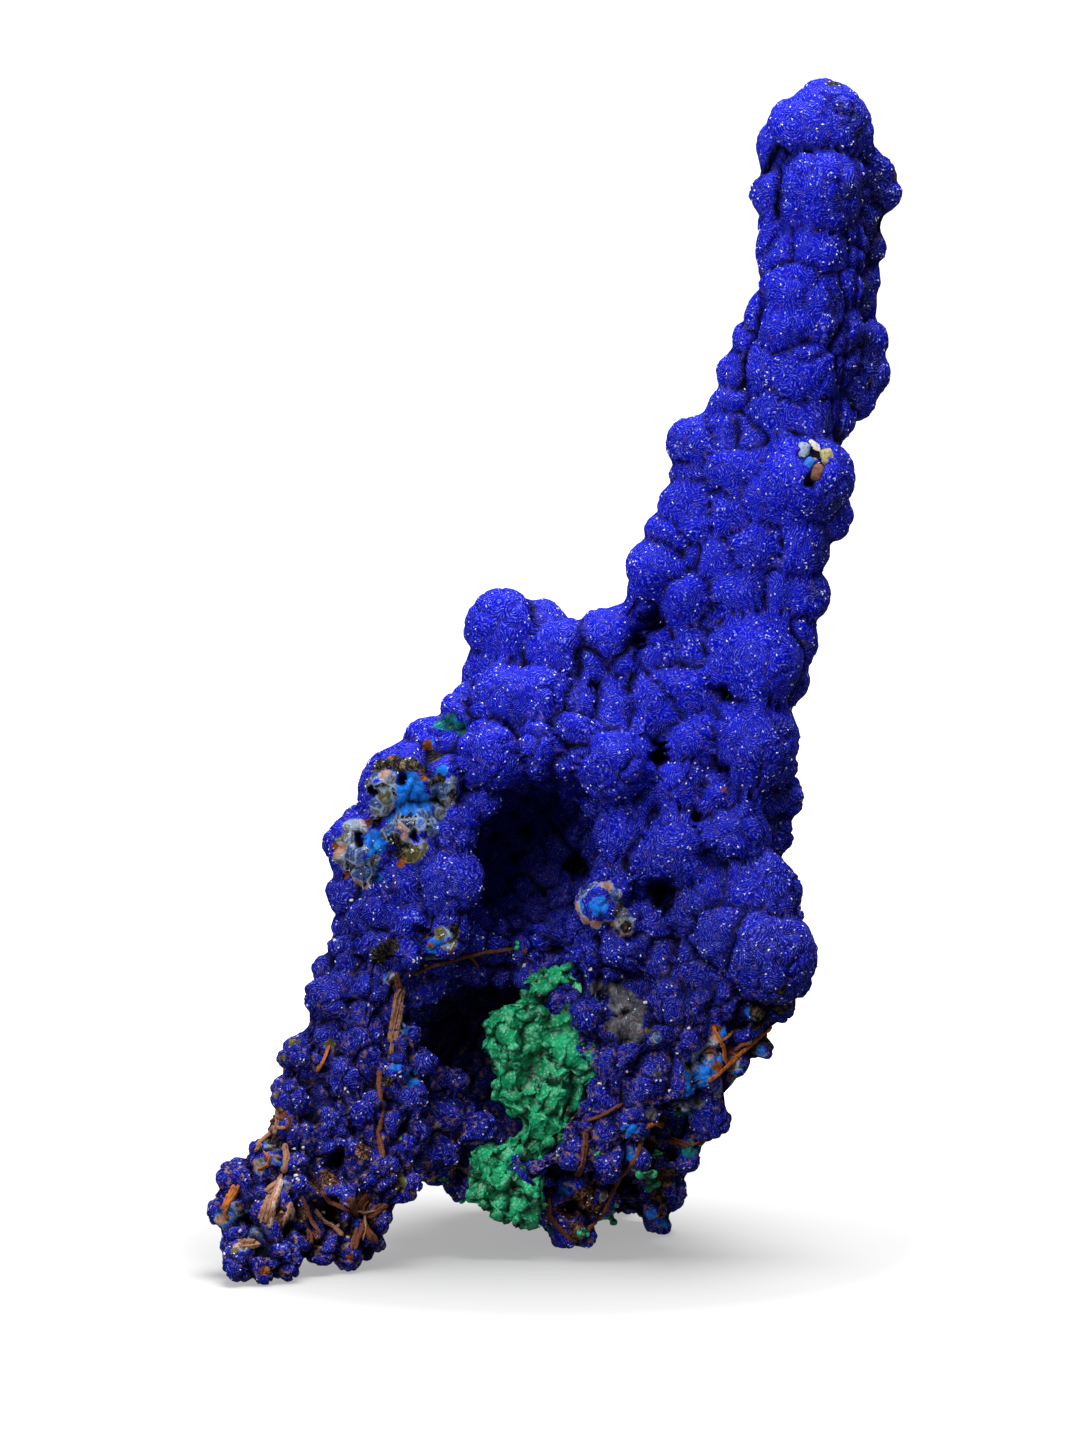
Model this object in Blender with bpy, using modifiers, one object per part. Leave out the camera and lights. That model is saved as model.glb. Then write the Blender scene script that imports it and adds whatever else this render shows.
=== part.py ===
"""Azurite specimen: a botryoidal mass with a tall spire, standing on three feet.

The stone is one solid: globules of azurite grown together over a solid core, with two hollows in
its front. A crust of malachite lines the lower hollow and is the second solid.

Every place below is (across, back, up, radius) in millimetres, in the specimen's leaning frame:
the frame leans back by LEAN, and stand_up() turns it upright and puts it on the floor.
"""

import math
import random

import bmesh
import bpy
from mathutils import Matrix, Vector

MM = 0.001

LEAN = math.radians(10)  # how far the leaning frame tips back about the across axis
FLOOR = 2.4  # height of the floor in the turned frame; what reaches below it is worn flat
BASE_CENTRE = (0.0, 7.4)  # across and back, turned upright: the middle of the footprint's box

GRAIN = 0.6  # voxel that joins the globules
AZURITE_FACES = 8800
MALACHITE_FACES = 1100
JOINT_GAP = 0.6  # the crust's pocket is cut this much larger than the crust
STRETCH = 0.10  # how far a globule departs from a sphere

# Solid masses that the globules grow on.
SPIRE_CORE = [
    (23.4, 1.4, 101, 3.0), (23.2, 1.8, 94, 3.2), (23.0, 1.8, 88, 3.4), (21.8, 1.8, 82, 3.6),
    (19.6, 2.0, 76, 4.0), (18.0, 2.2, 70, 4.8), (16.6, 2.4, 64, 5.2), (15.6, 3.0, 57.5, 5.4), (9.6, 3.0, 56.4, 3.4),
]
BODY_CORE = [
    (13.4, 3.4, 50, 6.0), (6, 4.5, 49.5, 5.6), (-2, 4.5, 49, 5.2), (-8.4, 3.4, 44.4, 4.4),
    (13.2, 4.4, 42, 5.4), (14.4, 3.4, 34, 5.6), (14.6, 2.4, 27.2, 5.2), (-14, 1.6, 40.4, 3.8),
    (4, 11.5, 42, 7.0), (-5, 11.5, 40.6, 6.2), (9, 10.5, 36, 7.2), (-11, 8.5, 35.6, 5.6),
    (4, 15, 30, 6.8), (-4, 15.5, 32, 6.2), (-11.4, 9.5, 29, 5.6), (9, 9.5, 25, 6.2),
    (3, 15.5, 22, 6.6), (-4, 16.5, 23, 5.6), (-11.4, 8.5, 22, 5.2), (10.4, 2.2, 19.2, 3.4),
    (1, 16.5, 14, 5.6), (-5, 16.5, 15.5, 4.6), (-12, 7.2, 15.5, 4.2), (6.2, 9.5, 15, 4.8),
    (-5, 3, 30, 4.4), (0.5, 4, 29.5, 4.4), (6.5, 1.6, 29, 3.8), (5.5, 3, 22, 3.8),
]
FLOOR_CORE = [
    (-10.5, 2, 10.6, 2.6), (-7, 3, 9.9, 2.8), (-3.5, 3.5, 8.6, 3.0), (-0.8, 4, 7.8, 2.8),
    (-9, 8, 13.0, 2.8), (-5, 9, 12.8, 3.0), (-1, 9, 10.4, 3.4), (-5, 13, 14.0, 3.2),
]
FOOT_CORE = [
    (-16, 0.6, 35, 3.2), (-16.6, 0.2, 29, 3.2), (-18, -1.4, 23, 3.2), (-20, -3, 17.5, 3.2),
    (-22, -4.5, 12.5, 3.2), (-24.5, -6.5, 8.5, 3.2), (-26, -10.0, 4.6, 2.4), (-18.5, -4, 9, 3.2),
    (-17.8, -5, 5.5, 2.4), (-14.5, -1.5, 14, 3.0), (-14.4, -1, 20, 2.8), (5.5, 1, 17, 3.2),
    (4.5, 1, 12, 3.0), (2.2, 4, 8.2, 2.4), (8.2, 7.5, 9.8, 2.8), (9.0, 10.0, 6.4, 1.9),
    (2.4, 19.5, 9.6, 4.6), (5, 13, 8.8, 3.4),
]

# Hollows: centre across, back and up, then the half-lengths along the same axes.
UPPER_HOLLOW = ((-2.0, -0.5, 38.2), (7.2, 10.5, 7.8))
LOWER_HOLLOW = ((-5.8, -0.5, 18.8), (8.6, 12.5, 9.4))
HOLLOWS = (UPPER_HOLLOW, LOWER_HOLLOW)

SPIRE = [
    (24.6, 0.0, 103.9, 4.0), (21.6, -0.5, 103.5, 3.3), (20.4, 0.3, 101.7, 2.7),
    (26.4, 0.6, 102.8, 2.5), (24.0, -1.5, 98.0, 3.9), (26.2, -1.0, 96.0, 2.1),
    (20.1, 1.0, 96.0, 2.5), (20.0, 1.6, 98.4, 1.9), (22.0, -0.5, 93.0, 3.2),
    (25.3, -0.4, 92.8, 2.6), (20.3, 0.4, 90.2, 2.6), (19.4, 0.8, 87.6, 2.1),
    (23.0, -1.3, 88.9, 3.6), (25.4, -1.0, 89.6, 2.0), (25.2, -1.6, 85.8, 2.2),
    (21.6, -1.4, 85.6, 2.8), (21.4, -0.8, 82.2, 3.3), (24.2, -0.4, 82.4, 2.6),
    (18.4, 0.6, 84.0, 2.5), (17.0, 0.9, 81.6, 2.6), (16.8, 0.3, 79.2, 2.8),
    (21.6, -1.0, 77.2, 2.9), (19.0, -0.6, 76.6, 2.2), (29.0, 3.5, 98.7, 2.3),
    (28.3, 3.4, 94.9, 2.3), (28.1, 3.6, 92.8, 1.9), (27.5, 3.0, 88.8, 2.3),
    (27.7, 3.0, 83.2, 3.0), (27.1, 3.0, 80.0, 2.8), (24.6, 2.6, 77.0, 2.4),
]
WAIST = [
    (13.1, 0.0, 75.3, 2.7), (15.8, -0.3, 76.2, 2.3), (12.7, 0.2, 72.6, 2.4),
    (12.0, -0.2, 70.0, 2.7), (12.8, -0.7, 68.4, 2.1), (10.2, -0.2, 67.0, 2.4),
    (9.4, -0.4, 64.2, 3.0), (12.2, -0.4, 65.6, 1.9), (16.6, -1.5, 72.6, 3.0),
    (16.4, -1.6, 69.4, 2.7), (22.7, -2.6, 72.2, 4.2), (19.2, -2.2, 71.0, 3.0),
    (24.2, 0.0, 69.0, 2.7), (18.4, -1.6, 66.4, 2.9), (22.0, -1.3, 66.0, 3.0),
    (14.2, -0.9, 65.0, 2.0), (12.4, -0.9, 61.9, 2.5), (14.4, -0.7, 60.4, 1.7),
    (8.4, 0.9, 60.9, 1.5), (11.0, 0.6, 59.2, 1.5), (17.2, -1.7, 62.0, 2.6),
    (20.4, -1.5, 61.9, 2.2), (22.4, -0.5, 61.9, 2.8), (18.5, -2.2, 56.2, 4.3),
    (21.6, -0.5, 57.6, 2.5), (21.0, -0.4, 54.2, 2.3), (9.3, -0.6, 57.0, 1.7),
    (12.8, -0.6, 56.9, 1.7),
]
CROWN = [
    (-4.4, 3.0, 58.6, 3.5), (-1.2, 3.4, 59.4, 2.2), (-6.0, 2.6, 54.6, 2.4),
    (-3.2, 1.8, 55.4, 2.2), (1.5, 0.0, 56.8, 2.9), (4.8, 0.2, 57.5, 3.2),
    (3.2, -1.0, 56.0, 2.0), (6.3, -0.5, 56.2, 2.2), (-7.8, -0.8, 51.0, 2.7),
    (-4.4, -1.8, 52.0, 3.3), (-0.8, -2.0, 52.2, 3.0), (2.5, -2.2, 51.8, 2.4),
    (4.9, -2.0, 51.8, 2.2), (6.9, -1.4, 53.2, 1.5), (-5.4, -4.0, 47.6, 3.3),
    (-1.5, -4.0, 47.8, 2.9), (2.2, -3.7, 49.8, 2.2), (1.7, -4.1, 47.2, 2.2),
    (5.5, -5.0, 46.4, 3.3), (18.0, -2.2, 48.5, 3.9), (12.8, -1.8, 48.8, 3.0),
    (12.0, -1.3, 53.2, 2.8), (8.7, -1.2, 51.8, 2.7), (10.4, -1.0, 50.0, 2.0),
    (11.1, -3.0, 44.8, 2.5), (14.6, -3.0, 43.4, 2.1), (16.5, -3.2, 40.3, 3.1),
    (7.0, -1.6, 40.4, 3.1), (10.5, -3.2, 38.9, 3.4), (19.8, 2.8, 43.6, 2.7),
    (19.6, 2.8, 40.8, 2.3), (13.6, -3.0, 39.0, 2.0),
]
HAUNCH = [
    (19.0, -3.2, 35.3, 3.4), (13.1, -3.2, 34.7, 2.3), (18.9, -4.2, 29.3, 4.6),
    (15.3, -3.6, 31.0, 3.6), (21.6, -2.0, 27.0, 1.9), (12.6, -3.4, 31.8, 1.8),
    (4.3, -3.6, 34.1, 2.4), (6.3, -3.9, 32.3, 1.5), (6.6, -2.6, 30.0, 2.7),
    (9.2, -2.2, 32.6, 2.5), (9.0, -2.2, 28.6, 2.2), (3.4, -2.0, 29.2, 1.8),
    (5.3, -2.5, 27.6, 1.4), (12.8, -3.6, 28.4, 2.2), (10.6, -3.1, 25.4, 1.8),
    (13.0, -3.8, 25.2, 2.0), (15.5, -4.1, 25.6, 2.0), (18.0, -3.6, 25.2, 1.9),
    (20.4, -2.6, 24.8, 1.8), (9.8, -3.2, 22.6, 1.7), (12.2, -3.8, 21.8, 1.8),
    (14.6, -3.2, 22.0, 1.8), (17.0, -2.2, 22.2, 1.9), (13.8, -2.8, 19.0, 1.9),
    (16.4, -1.6, 19.8, 1.7), (11.4, -3.2, 17.8, 1.9), (11.6, -2.6, 16.2, 1.2),
    (3.1, -2.6, 23.7, 1.5), (6.0, -3.2, 19.9, 2.0), (8.4, -3.2, 18.2, 1.8),
    (4.3, -3.2, 16.9, 1.5), (7.1, -3.6, 14.2, 1.9), (1.9, -2.8, 11.8, 1.9),
    (4.5, -3.4, 13.2, 1.5), (5.0, -3.2, 10.6, 1.6), (7.0, -2.6, 11.4, 1.5),
    (2.4, -2.8, 14.0, 1.3), (14.0, 0.0, 14.7, 1.9), (12.2, 0.6, 15.6, 1.5),
    (11.8, 2.0, 11.0, 1.7), (11.0, 4.0, 8.1, 1.4), (9.4, 9.8, 5.6, 1.9),
    (9.4, 5.0, 7.4, 1.6), (1.7, 3.6, 5.5, 2.6), (-0.9, 0.5, 9.6, 1.2), (-1.6, 0.6, 6.6, 1.0),
]
LEFT_LEG = [
    (-13.6, -2.0, 44.6, 4.0), (-10.3, -3.0, 45.2, 2.4), (-17.4, -2.8, 38.9, 3.2),
    (-12.4, -4.0, 41.0, 2.5), (-13.9, -0.4, 45.8, 2.5), (-10.8, -0.8, 48.2, 2.7),
    (-6.3, -2.6, 43.6, 1.9), (-8.8, -3.6, 40.5, 2.2), (-9.2, -4.6, 36.0, 2.9),
    (-12.9, -4.0, 35.9, 2.0), (-18.6, -2.8, 35.1, 2.0), (-16.4, -3.9, 33.5, 2.3),
    (-18.6, -2.6, 32.4, 1.7), (-12.4, -4.5, 32.3, 1.8), (-9.9, -4.9, 31.2, 2.2),
    (-18.6, -3.4, 30.0, 2.1), (-15.7, -4.5, 30.3, 2.2), (-13.2, -4.8, 29.4, 1.8),
    (-20.2, -2.6, 28.0, 1.8), (-19.8, -3.8, 25.5, 2.5), (-16.5, -4.5, 26.1, 2.0),
    (-20.2, -3.8, 22.9, 2.0), (-17.0, -4.8, 22.4, 2.2), (-14.2, -4.4, 24.4, 1.2),
    (-13.4, -4.2, 22.4, 1.3), (-22.6, -4.8, 20.2, 2.1), (-18.6, -5.3, 18.7, 1.9),
    (-23.5, -5.8, 16.7, 2.1), (-20.9, -5.2, 17.4, 1.3), (-19.9, -6.3, 14.6, 1.8),
    (-17.0, -6.2, 15.8, 1.8), (-21.9, -6.2, 14.9, 1.3), (-19.0, -6.6, 12.3, 1.7),
    (-24.2, -6.4, 14.0, 1.6), (-22.7, -7.8, 13.3, 1.3), (-22.9, -8.8, 10.9, 1.3),
    (-23.1, -9.2, 8.6, 1.5), (-26.2, -7.8, 11.4, 1.8), (-28.2, -8.3, 9.4, 2.1),
    (-29.0, -8.8, 6.7, 2.3), (-26.5, -9.2, 7.4, 1.8), (-27.6, -10.0, 4.8, 1.6),
    (-27.6, -12.6, 1.9, 2.1), (-26.0, -12.8, 1.5, 2.0), (-24.4, -11.8, 2.4, 2.0),
    (-20.4, -8.4, 3.2, 1.7), (-18.2, -6.8, 2.8, 1.9), (-16.7, -6.0, 3.3, 1.4),
    (-15.5, -5.8, 5.4, 1.3), (-19.2, -7.6, 7.4, 1.5), (-22.0, -9.5, 4.6, 1.6),
    (-15.2, -6.8, 10.2, 1.7), (-13.4, -5.8, 8.9, 1.7), (-13.6, -5.4, 12.2, 1.5),
    (-14.6, -5.2, 14.4, 1.4), (-12.4, -4.6, 16.9, 1.5), (-14.3, -5.2, 18.5, 1.3),
    (-12.0, -3.4, 19.8, 1.4), (-9.3, 3.0, 17.6, 1.7), (-6.4, -1.0, 14.1, 1.7),
    (-9.4, -0.6, 14.8, 1.7), (-12.2, -4.0, 13.4, 1.4), (-9.6, -1.6, 11.8, 1.5),
]
LEDGE = [
    (-7.6, -1.4, 30.6, 1.7), (-5.4, 0.4, 30.4, 1.6), (-3.2, 1.6, 30.6, 1.5), (-1.2, 2.4, 31.0, 1.6),
    (0.8, 2.2, 31.0, 1.7), (2.2, 0.4, 29.6, 1.5), (-10.0, -2.6, 29.4, 1.5), (2.6, -0.6, 31.4, 1.5),
]
MALACHITE = [
    (0.8, 0.5, 27.2, 1.6), (2.2, 0.3, 26.9, 1.4), (-0.9, 0.5, 26.5, 1.5), (-1.1, 0.6, 25.0, 1.5),
    (0.6, 0.8, 25.2, 1.7), (1.1, 0.6, 23.4, 1.7), (0.2, 1.2, 22.1, 1.6), (-3.8, 0.0, 22.6, 2.1),
    (-4.6, 0.4, 21.6, 1.5), (-2.2, 0.2, 22.3, 1.8), (-3.4, 0.2, 20.6, 1.8), (-1.6, 0.8, 20.5, 1.6),
    (1.6, 0.2, 21.0, 2.0), (3.6, -0.2, 20.8, 1.3), (0.4, 0.4, 19.2, 2.0), (2.2, 0.4, 18.8, 1.6),
    (-1.0, 1.0, 18.4, 1.5), (-3.6, 0.0, 18.5, 1.6), (-3.6, 0.0, 16.9, 1.5), (-2.4, 0.4, 17.6, 1.5),
    (0.2, 0.2, 16.6, 2.1), (1.4, 0.5, 16.4, 1.6), (-0.6, 0.0, 14.8, 2.0), (-1.8, 0.4, 15.2, 1.5),
    (-0.6, 0.4, 13.6, 1.3), (-1.2, 0.8, 12.2, 1.3), (-2.2, 0.2, 10.8, 1.4), (-3.0, -0.4, 9.6, 1.5),
    (-6.2, -1.6, 11.2, 1.1), (-5.2, -1.8, 9.6, 1.7), (-6.2, -1.6, 8.5, 1.3), (-4.2, -1.4, 8.9, 1.5),
    (-4.0, -0.4, 11.2, 1.3), (-2.6, -1.2, 8.0, 1.6), (-3.2, -1.4, 6.8, 1.4), (-2.0, -1.2, 6.0, 1.3),
    (-4.8, -1.2, 7.2, 1.2),
]


def stand_up():
    """Turns the leaning frame upright and puts its floor and the middle of its footprint at the origin."""
    turned = Matrix.Rotation(-LEAN, 4, "X") @ Matrix.Scale(MM, 4)
    down = Matrix.Translation(Vector((-BASE_CENTRE[0], -BASE_CENTRE[1], -FLOOR)) * MM)
    return down @ turned


def directions(count):
    """Unit vectors spread evenly over a sphere, along a golden-angle spiral."""
    golden = math.pi * (3 - math.sqrt(5))
    for i in range(count):
        height = 1 - 2 * (i + 0.5) / count
        ring = math.sqrt(1 - height * height)
        yield Vector((ring * math.cos(i * golden), ring * math.sin(i * golden), height))


def in_hollow(point, margin=0.0):
    """True where the point is in a hollow that is made larger all round by margin."""
    for centre, half in HOLLOWS:
        scaled = [(p - c) / (h + margin) for p, c, h in zip(point, centre, half)]
        if sum(s * s for s in scaled) < 1:
            return True
    return False


def back_globules(core, spacing, chance):
    """Globules over the sides and the back of the core, where no other mass covers them."""
    grown = []
    for index, (*centre, radius) in enumerate(core):
        others = core[:index] + core[index + 1:]
        for way in directions(round(4 * math.pi * radius**2 / spacing**2)):
            size = spacing * chance.uniform(0.52, 0.78)
            spot = Vector(centre) + way * (radius - 0.35 * size)
            faces_back = way.y > -0.3
            buried = any((spot - Vector(c)).length < r - 0.45 * size for *c, r in others)
            crowded = any((spot - Vector(c)).length < 0.72 * spacing for *c, _ in grown)
            if faces_back and not buried and not crowded and not in_hollow(spot, size):
                grown.append((*spot, size))
    return grown


def lining_globules(spacing, chance):
    """Small globules set into the inner walls of the hollows."""
    grown = []
    for centre, half in HOLLOWS:
        area = 4 * math.pi * ((half[0] * half[1] * half[2]) ** (2 / 3))
        for way in directions(round(area / spacing**2)):
            size = spacing * chance.uniform(0.5, 0.7)
            spot = Vector([c + w * (h + 0.2 * size) for c, w, h in zip(centre, way, half)])
            if way.y > 0 and not in_hollow(spot):
                grown.append((*spot, size))
    return grown


def swarm(name, globules, chance, grow=0.0):
    """One mesh object of overlapping balls, each a little out of round."""
    upright = stand_up()
    ball = bmesh.new()
    bmesh.ops.create_icosphere(ball, subdivisions=3, radius=1)
    pattern = bpy.data.meshes.new("globule")
    ball.to_mesh(pattern)
    ball.free()
    balls = bmesh.new()
    for *centre, radius in globules:
        stretch = [radius + grow + radius * chance.uniform(-STRETCH, STRETCH) for _ in range(3)]
        globule = pattern.copy()
        globule.transform(upright @ Matrix.Translation(centre) @ Matrix.Diagonal((*stretch, 1)))
        balls.from_mesh(globule)
        bpy.data.meshes.remove(globule)
    balls.to_mesh(pattern)
    balls.free()
    made = bpy.data.objects.new(name, pattern)
    bpy.context.scene.collection.objects.link(made)
    return made


def fuse(obj):
    """Joins the overlapping shapes of obj into one closed skin."""
    remesh = obj.modifiers.new("Fuse", "REMESH")
    remesh.mode = "VOXEL"
    remesh.voxel_size = GRAIN * MM
    remesh.adaptivity = 0


def thin_out(obj, faces):
    """Collapses the skin to about this many triangles, most where it is flattest."""
    evaluated = obj.evaluated_get(bpy.context.evaluated_depsgraph_get())
    have = sum(len(face.vertices) - 2 for face in evaluated.data.polygons)
    collapse = obj.modifiers.new("Thin out", "DECIMATE")
    collapse.ratio = min(1.0, faces / have)


def combine(obj, other, operation):
    """A Boolean of obj with other, which stays in the file as a hidden helper."""
    boolean = obj.modifiers.new(operation.title(), "BOOLEAN")
    boolean.operation = operation
    boolean.object = other
    other.hide_render = True
    other.display_type = "WIRE"


def bake(obj):
    """Replaces the object's mesh by what its modifiers make of it."""
    graph = bpy.context.evaluated_depsgraph_get()
    made = bpy.data.meshes.new_from_object(obj.evaluated_get(graph))
    obj.modifiers.clear()
    obj.data = made


def keep_largest(obj):
    """Deletes every loose scrap of the mesh but the one with the most points."""
    shape = bmesh.new()
    shape.from_mesh(obj.data)
    left, largest = set(shape.verts), set()
    while left:
        island, edge = set(), {left.pop()}
        while edge:
            point = edge.pop()
            island.add(point)
            edge |= {e.other_vert(point) for e in point.link_edges} - island
        left -= island
        largest = max(largest, island, key=len)
    bmesh.ops.delete(shape, geom=list(set(shape.verts) - largest), context="VERTS")
    shape.to_mesh(obj.data)
    shape.free()


def hollow_cutter():
    """Both hollows as ellipsoids that run out through the front."""
    upright = stand_up()
    shape = bmesh.new()
    for centre, half in HOLLOWS:
        place = Matrix.Translation(centre) @ Matrix.Diagonal((*half, 1))
        bmesh.ops.create_icosphere(shape, subdivisions=4, radius=1, matrix=upright @ place)
    mesh = bpy.data.meshes.new("hollow_cutter")
    shape.to_mesh(mesh)
    shape.free()
    cutter = bpy.data.objects.new("hollow_cutter", mesh)
    bpy.context.scene.collection.objects.link(cutter)
    fuse(cutter)
    bake(cutter)
    return cutter


def floor_cutter():
    """A block under the floor that wears the feet flat."""
    depth, side = 20 * MM, 200 * MM
    bpy.ops.mesh.primitive_cube_add(size=1, location=(0, 0, -depth / 2))
    block = bpy.context.object
    block.name = "floor_cutter"
    block.scale = (side, side, depth)
    return block


def finish(name, colour, roughness):
    material = bpy.data.materials.new(name)
    material.use_nodes = True
    shader = material.node_tree.nodes["Principled BSDF"]
    shader.inputs["Base Color"].default_value = (*colour, 1)
    shader.inputs["Roughness"].default_value = roughness
    shader.inputs["Metallic"].default_value = 0
    return material


def azurite(floor, chance):
    """The stone: cores, hollows, then the globules on the outside and in the hollows."""
    cores = SPIRE_CORE + BODY_CORE + FLOOR_CORE + FOOT_CORE
    stone = swarm("azurite_body", cores, chance)
    fuse(stone)
    bake(stone)
    hollows = hollow_cutter()
    combine(stone, hollows, "DIFFERENCE")
    bake(stone)

    globules = SPIRE + WAIST + CROWN + HAUNCH + LEFT_LEG + LEDGE
    globules += back_globules(SPIRE_CORE, 4.4, chance)
    globules += back_globules(BODY_CORE, 4.8, chance)
    globules += back_globules(FOOT_CORE, 3.4, chance)
    globules += lining_globules(2.9, chance)
    coat = swarm("azurite_globules", globules, chance)
    bpy.ops.object.select_all(action="DESELECT")
    coat.select_set(True)
    stone.select_set(True)
    bpy.context.view_layer.objects.active = stone
    bpy.ops.object.join()
    fuse(stone)
    bake(stone)
    thin_out(stone, AZURITE_FACES)
    bake(stone)
    combine(stone, floor, "DIFFERENCE")
    bake(stone)
    keep_largest(stone)
    stone.data.materials.clear()
    stone.data.materials.append(finish("azurite", (0.03, 0.03, 0.5), 0.5))
    bpy.data.objects.remove(hollows)
    return stone


def malachite(stone, chance):
    """The crust in the lower hollow, and its pocket in the stone."""
    state = chance.getstate()
    crust = swarm("malachite_crust", MALACHITE, chance)
    chance.setstate(state)
    pocket = swarm("crust_pocket", MALACHITE, chance, grow=JOINT_GAP)
    for shape in (crust, pocket):
        fuse(shape)
        bake(shape)
        thin_out(shape, MALACHITE_FACES)
        bake(shape)
    combine(stone, pocket, "DIFFERENCE")
    bake(stone)
    keep_largest(stone)
    bpy.data.objects.remove(pocket)
    crust.data.materials.append(finish("malachite", (0.0, 0.27, 0.13), 0.55))
    return crust


def main():
    for old in list(bpy.data.objects):
        bpy.data.objects.remove(old)
    chance = random.Random(11)
    floor = floor_cutter()
    stone = azurite(floor, chance)
    crust = malachite(stone, chance)
    bpy.data.objects.remove(floor)
    specimen = bpy.data.collections.new("azurite specimen")
    bpy.context.scene.collection.children.link(specimen)
    for piece in (stone, crust):
        for holder in piece.users_collection:
            holder.objects.unlink(piece)
        specimen.objects.link(piece)


main()
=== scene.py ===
"""Azurite specimen: the stone's grown surface, its crusts and its setting.

The stone is built from the same globules as its plain solid, with the small lumps, crystals, crusts
and broken places on top. Places are (across, back, up, radius) in millimetres in a frame that leans
back by LEAN; upright() turns it and puts it on the floor.
"""

import math

import bmesh
import bpy
import numpy as np
from bpy.props import FloatProperty, FloatVectorProperty, IntProperty, PointerProperty
from mathutils import Matrix, Vector, bvhtree, kdtree, noise


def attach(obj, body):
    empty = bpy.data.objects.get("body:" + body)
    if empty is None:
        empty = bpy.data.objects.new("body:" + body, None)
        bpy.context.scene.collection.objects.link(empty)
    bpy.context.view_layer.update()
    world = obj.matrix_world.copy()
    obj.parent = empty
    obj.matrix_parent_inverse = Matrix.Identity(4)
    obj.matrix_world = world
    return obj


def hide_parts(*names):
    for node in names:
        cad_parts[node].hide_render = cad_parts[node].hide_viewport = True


bl_info = {
    "name": "Azurite specimen",
    "version": (1, 0, 0),
    "blender": (4, 5, 0),
    "location": "View3D > Sidebar > Azurite",
    "description": "Grows an azurite and malachite specimen and sets it on a table",
    "category": "Add Mesh",
}

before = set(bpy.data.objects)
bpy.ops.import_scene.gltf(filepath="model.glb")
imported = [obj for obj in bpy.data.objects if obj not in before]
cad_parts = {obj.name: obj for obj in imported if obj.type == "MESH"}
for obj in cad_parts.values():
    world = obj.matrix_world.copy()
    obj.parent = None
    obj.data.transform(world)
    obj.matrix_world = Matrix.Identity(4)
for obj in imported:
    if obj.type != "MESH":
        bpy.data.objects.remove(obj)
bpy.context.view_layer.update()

MM = 0.001
LEAN = math.radians(10)  # how far the leaning frame tips back about the across axis
FLOOR = 2.4  # height of the floor in the turned frame
BASE_CENTRE = (0.0, 7.4)  # across and back, turned upright: the middle of the footprint's box
SEED = 11

# Millimetres.
GROWN = 1.5  # how much larger the azurite balls are while the gaps between them are shut
CRUST_GROWN = 0.95  # the same for the balls of the malachite crust
CORE_GRAIN = 0.6  # finest shape of the fused cores
HOLLOW_GRAIN = 0.8  # of the block that carves the hollows
CRUST_GRAIN = 0.2  # of the malachite crust
SPOT_GRAIN = 0.14  # and of the small malachite lumps
# Between the globules of the back, the sides and the hollows, which are placed by rule.
GLOBULES = {"spire": 4.4, "body": 4.8, "foot": 3.4, "lining": 2.9}
SPIRE_SUNK = 0.9  # how much deeper such globules sit in the spire's core
WHORL = 0.2  # between the lines of crystals
CRYSTAL = 0.22  # across the common azurite crystal
THREAD = 0.16  # half the width of the threads that a limonite strip splits into
THREAD_STEP = 0.22  # between the rings of a thread
ROUTE_STEP = 0.3  # between the points at which a strip follows the skin

CRUST_TRIANGLES = 60000  # most triangles in each malachite piece

LENS = 500
SENSOR = 36
VIEW_MIDDLE = (-0.9, 0, 50.22)  # where the camera looks, in the leaning frame
VIEW_HEIGHT = 0.13032  # metres that the view covers there

# The two sizes of lumps on each globule: how far apart they are, how strong the strongest are, how
# deep and wide the dip between them is, how dark and wide the painted shade in it is, and how much they
# rise.
LUMPS = [(2.1, 1.2, 0.5, 0.7, 0.6, 0.35, 0.4), (0.95, 1.4, 0.26, 0.4, 0.35, 0.25, 0.0)]

SPIRE_CORE = [
    (23.4, 0.6, 101, 4.1), (23.3, 0.0, 97.4, 4.2), (23.3, -0.2, 94.6, 4.4), (23.2, -0.3, 91.8, 4.4),
    (22.8, -0.3, 89, 4.4), (22.4, -0.3, 86.2, 4.5), (22.0, -0.2, 83.4, 4.6), (21.4, 0.0, 80.6, 4.7),
    (20.8, 0.4, 77.8, 4.7), (19.6, 1.4, 75, 4.6), (27.2, 3.4, 96, 1.7), (26.8, 3.2, 91, 1.5),
    (18.0, 2.2, 70, 4.8), (16.6, 2.4, 64, 5.2), (15.6, 3.0, 57.5, 5.4), (9.6, 3.0, 56.4, 3.4),
]
BODY_CORE = [
    (13.4, 3.4, 50, 6.0), (6, 4.5, 49.5, 5.6), (-2, 4.5, 49, 5.2), (-8.4, 3.4, 44.4, 4.4),
    (13.2, 4.4, 42, 5.4), (14.4, 3.4, 34, 5.6), (14.6, 2.4, 27.2, 5.2), (-14, 1.6, 40.4, 3.8),
    (4, 11.5, 42, 7.0), (-5, 11.5, 40.6, 6.2), (9, 10.5, 36, 7.2), (-11, 8.5, 35.6, 5.6),
    (4, 15, 30, 6.8), (-4, 15.5, 32, 6.2), (-11.4, 9.5, 29, 5.6), (9, 9.5, 25, 6.2), (3, 15.5, 22, 6.6),
    (-4, 16.5, 23, 5.6), (-11.4, 8.5, 22, 5.2), (10.4, 2.2, 19.2, 3.4), (1, 16.5, 14, 5.6),
    (-5, 16.5, 15.5, 4.6), (-12, 7.2, 15.5, 4.2), (6.2, 9.5, 15, 4.8), (-5, 3, 30, 4.4),
    (0.5, 4, 29.5, 4.4), (6.5, 1.6, 29, 3.8), (5.5, 3, 22, 3.8),
]
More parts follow.
